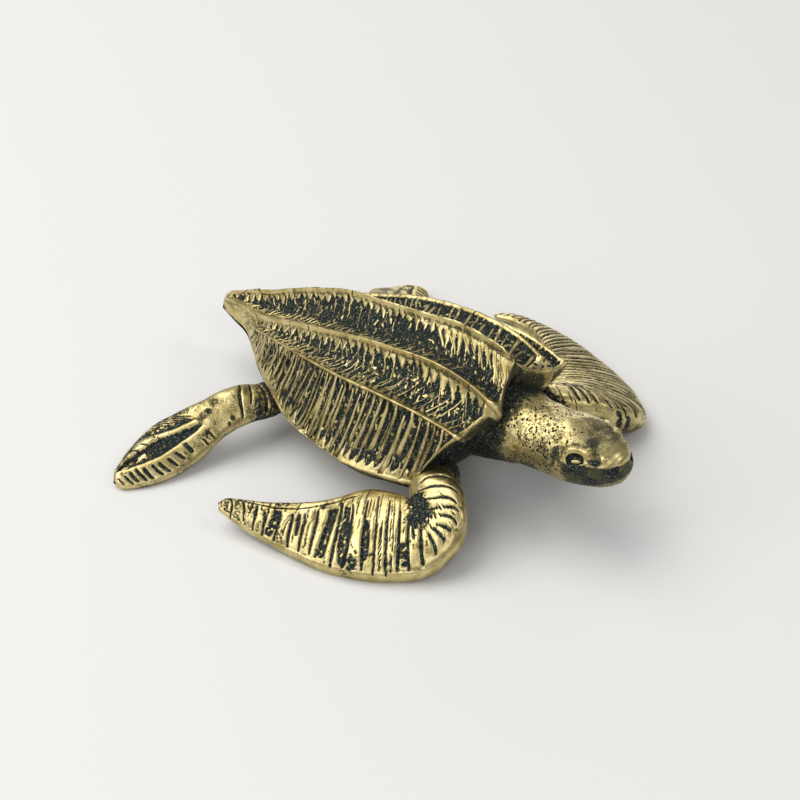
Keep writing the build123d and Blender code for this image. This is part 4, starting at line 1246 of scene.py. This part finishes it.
def buildHead():
    table = np.array(headShape["stations"])
    rows, columns = headShape["rows"], headShape["columns"]
    # rows crowd together towards the snout, where the surface turns
    slide = np.linspace(0, 1, rows)
    place = table[0, 0] + (table[-1, 0] - table[0, 0]) * (1 - (1 - slide) ** 1.35)
    values = smoothThrough(-table[:, 0], table[:, 1:], -place)
    turns = ringTurns(columns)
    high = np.where(turns[1] >= 0, values[:, 2:3], values[:, 3:4])
    grid, normal = ringGrid(place, values[:, 0], values[:, 1], high, turns, (0.92, 0.95))
    lift = np.zeros((rows, columns))
    patina = 0.06 + 0.18 * cloud(grid, 1.6, 70)
    height, forward = grid[..., 2], -grid[..., 1]
    # the jaw is darker, and the throat beneath gets painted shade
    jaw = headShape["jawShade"] * (1 - smoothStep(height, 11.25, 11.60)) * smoothStep(forward, 22.8, 24.3)
    patina = np.maximum(patina, jaw)
    patina = np.maximum(patina, headShape["paintedThroatShade"] * (1 - smoothStep(height, 7.4, 9.2)))
    chin = np.exp(-((height - 8.5 - 0.35 * (forward - 26)) / 0.35) ** 2)
    patina -= 0.30 * chin * smoothStep(forward, 22.5, 24)
    patina += 0.22 * smoothStep(cloud(grid, 1.2, 71), 0.45, 0.75)
    patina += 0.10 * smoothStep(height, 12.0, 12.8) * smoothStep(forward, 21.5, 24)
    for across, y, z, long, tall, rise, dark in headShape["marks"]:
        for side in ((-1, 1) if across else (1,)):
            away = (grid - np.array([side * across, y, z])) / np.array([max(long, tall), long, tall])
            mound = np.exp(-1.2 * np.sum(away**2, axis=-1))
            lift += rise * mound
            patina += dark * mound
    # each eye: a smooth brow arched over a dark socket, with the lid as a bright bead at its foot
    for side in (-1, 1):
        away = grid * np.array([side, 1, 1]) - np.array(headShape["eye"])
        flat, up = -away[..., 1], away @ np.array(headShape["eyeUp"])
        tilt = math.radians(headShape["eyeTilt"])
        ahead = flat * math.cos(tilt) + up * math.sin(tilt)
        above = up * math.cos(tilt) - flat * math.sin(tilt)
        near = 1 - smoothStep(np.linalg.norm(away, axis=-1), 2.2, 2.7)
        ring = np.hypot((ahead + 0.15) / 1.02, (above - 0.15) / 0.78)
        arch = np.exp(-((ring - 1.42) / 0.40) ** 2) * smoothStep(above, 0.1, 0.7)
        arch *= smoothStep(ahead, -1.5, -0.7) * near
        bead = 1 - smoothStep(np.hypot(ahead / 0.60, above / 0.20), 0.75, 1.10)
        socket = (1 - smoothStep(ring, 0.80, 1.02)) * smoothStep(above, -0.30, -0.12) * (1 - bead) * near
        foot = np.exp(-((ahead / 1.0) ** 4 + ((above + 0.42) / 0.22) ** 4)) * near
        lift += 0.28 * arch - 0.40 * socket + 0.06 * bead * near - 0.05 * foot
        patina += -0.35 * arch + 1.5 * socket - 1.7 * bead * near + 0.6 * foot
    # hammered pits crowd the neck and thin out to the snout
    rng = np.random.default_rng(5)
    row = rng.integers(20, rows - 12, headShape["pits"])
    column = rng.integers(0, columns, headShape["pits"])
    for r, c in zip(row, column):
        point = grid[r, c]
        if point[1] < -25 or (point[1] < -21.5 and rng.random() < 0.8):
            continue
        size = rng.uniform(*headShape["pitSize"])
        around = np.ix_(range(max(r - 10, 0), min(r + 11, rows)), np.arange(c - 10, c + 11) % columns)
        dent = np.exp(-(np.linalg.norm(grid[around] - point, axis=-1) / size) ** 2)
        lift[around] -= headShape["pitDepth"] * dent
        patina[around] += headShape["pitShade"] * dent
    # the neck gets painted shade where it goes under the rim
    darkTo, brightFrom = headShape["collar"]
    root = 1 - smoothStep(forward, darkTo, brightFrom + 1.2 * cloud(grid, 0.8, 73))
    patina = np.maximum(patina, headShape["paintedCollarShade"] * root)
    pitted = 0.85 * (1 - smoothStep(forward, 19.5, 23.0)) + 0.06
    behindEye = np.linalg.norm((grid * np.array([0, 1, 1]) - np.array([0, -22.0, 11.2])) / 1.5, axis=-1)
    pitted = np.maximum(pitted, np.exp(-behindEye**2))
    patina += 0.30 * np.exp(-behindEye**2) * smoothStep(cloud(grid, 0.35, 76), 0.35, 0.65)
    fromTemple = (np.abs(grid[..., 0]) - 1.6) / 0.9
    forehead = np.exp(-((grid[..., 1] + 25.6) / 1.3) ** 2 - fromTemple**2) * (height > 11)
    pitted = np.maximum(pitted, 0.8 * forehead)
    patina += 0.25 * forehead
    lift += hammered(grid, 0.16, 1.5, 74) * smoothStep(grid[..., 1], -26, -22)
    lift += hammered(grid, 0.07, 0.45, 75) * smoothStep(grid[..., 1], -24, -19)
    lift *= smoothStep(grid[..., 1], -28.75, -28.3) * 0.9 + 0.1
    grid = grid + normal * lift[..., None]
    return tubePiece("headAndNeck", grid, patina, pitted, brass)


headPiece = buildHead()
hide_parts("head")
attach(headPiece, "root")
print("head ready", len(headPiece.data.polygons))


# Torso, mostly hidden: the belly, and the chest under the rim, painted dark as shade

torsoShape = {
    # place, half width, lowest and highest point
    "stations": [
        (-13.3, 3.4, 8.0, 12.4),
        (-13.0, 4.0, 7.4, 13.6),
        (-12.2, 4.8, 6.5, 14.4),
        (-10.5, 6.4, 5.1, 14.6),
        (-8.0, 9.0, 2.8, 11.0),
        (-5.0, 9.9, 1.6, 6.4),
        (-1.5, 10.6, 1.3, 5.2),
        (4.0, 10.2, 1.3, 5.2),
        (9.0, 9.2, 1.32, 5.2),
        (14.0, 7.4, 1.6, 5.3),
        (18.0, 5.0, 2.4, 5.5),
        (20.2, 2.9, 3.4, 5.3),
        (20.9, 1.2, 4.4, 5.2),
    ],
    "rows": 190, "columns": 150,
    "boxy": (0.75, 0.7),
    "paintedSideShade": 0.97,
}


def buildTorso():
    table = np.array(torsoShape["stations"])
    rows, columns = torsoShape["rows"], torsoShape["columns"]
    place = np.linspace(table[0, 0], table[-1, 0], rows)
    values = smoothThrough(table[:, 0], table[:, 1:], place)
    middle = (values[:, 1] + values[:, 2]) / 2
    high = (values[:, 2:3] - values[:, 1:2]) / 2
    grid, normal = ringGrid(place, values[:, 0], middle, high, ringTurns(columns), torsoShape["boxy"])
    lift = hammered(grid, 0.14, 1.8, 80) + hammered(grid, 0.08, 0.5, 81)
    lift *= smoothStep(20.9 - grid[..., 1], 0, 1.5) * smoothStep(grid[..., 1] + 13.3, 0, 0.6)
    patina = 0.35 + 0.35 * cloud(grid, 2.2, 82)
    # painted shade along the sides, and under the rim in front
    patina = np.maximum(patina, torsoShape["paintedSideShade"] * smoothStep(grid[..., 2], 1.8, 2.8))
    return tubePiece("body", grid + normal * lift[..., None], patina, 0.5 + 0 * patina, brass)


torsoPiece = buildTorso()
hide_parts("torso")
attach(torsoPiece, "root")
print("torso ready", len(torsoPiece.data.polygons))


# Floor, light and camera

studio = {
    "floorColour": (0.80, 0.80, 0.79),
    "world": (0.93, 0.95, 0.97),
    "worldStrength": 0.28,
    # place, size, power and colour of each soft light, all aimed at the turtle
    "lights": [
        ((-0.03, 0.25, 0.44), 0.46, 1.56, (1.0, 0.98, 0.95)),
        ((0.40, 0.28, 0.14), 0.25, 0.32, (1.0, 0.97, 0.93)),
        ((-0.34, 0.23, 0.21), 0.24, 0.46, (0.98, 0.98, 1.0)),
        ((-0.26, 0.07, 0.42), 0.20, 0.27, (1.0, 0.99, 0.96)),
        ((-0.34, -0.16, 0.24), 0.16, 0.26, (0.98, 0.98, 1.0)),
        ((0.16, -0.30, 0.34), 0.14, 0.20, (1.0, 0.98, 0.95)),
        ((-0.18, -0.33, 0.31), 0.13, 0.20, (1.0, 0.98, 0.95)),
    ],
    "camera": (-0.16499, -0.14007, 0.15907),
    "cameraTurn": (54.75, 0.0, -49.25),
    "lens": 108.0,
    "sensor": 36,
    "floorReach": 1.2,
}


def buildStudio():
    reach = studio["floorReach"]
    corners = [(-reach, -reach, 0), (reach, -reach, 0), (reach, reach, 0), (-reach, reach, 0)]
    mesh = bpy.data.meshes.new("floor")
    mesh.from_pydata(corners, [], [(0, 1, 2, 3)])
    floor = addObject("floor", mesh)
    paper = bpy.data.materials.new("paper")
    paper.use_nodes = True
    shader = paper.node_tree.nodes["Principled BSDF"]
    shader.inputs["Base Color"].default_value = (*studio["floorColour"], 1)
    shader.inputs["Roughness"].default_value = 0.9
    shader.inputs["Specular IOR Level"].default_value = 0.1
    mesh.materials.append(paper)
    world = bpy.data.worlds.new("studio")
    world.use_nodes = True
    background = world.node_tree.nodes["Background"]
    background.inputs["Color"].default_value = (*studio["world"], 1)
    background.inputs["Strength"].default_value = studio["worldStrength"]
    bpy.context.scene.world = world
    for number, (place, size, power, colour) in enumerate(studio["lights"]):
        light = bpy.data.lights.new(f"softbox{number}", "AREA")
        light.shape = "SQUARE"
        light.size = size
        light.energy = power
        light.color = colour
        lamp = addObject(light.name, light)
        lamp.location = place
        x, y, z = place
        lamp.rotation_euler = (math.atan2(math.hypot(x, y), z), 0, math.atan2(y, x) + math.pi / 2)
    lens = bpy.data.cameras.new("camera")
    lens.lens = studio["lens"]
    lens.sensor_width = studio["sensor"]
    lens.clip_start = 0.01
    camera = addObject("camera", lens)
    camera.location = studio["camera"]
    camera.rotation_euler = [math.radians(angle) for angle in studio["cameraTurn"]]
    bpy.context.scene.camera = camera
    bpy.context.scene.view_settings.view_transform = "Standard"


buildStudio()
print("studio ready")
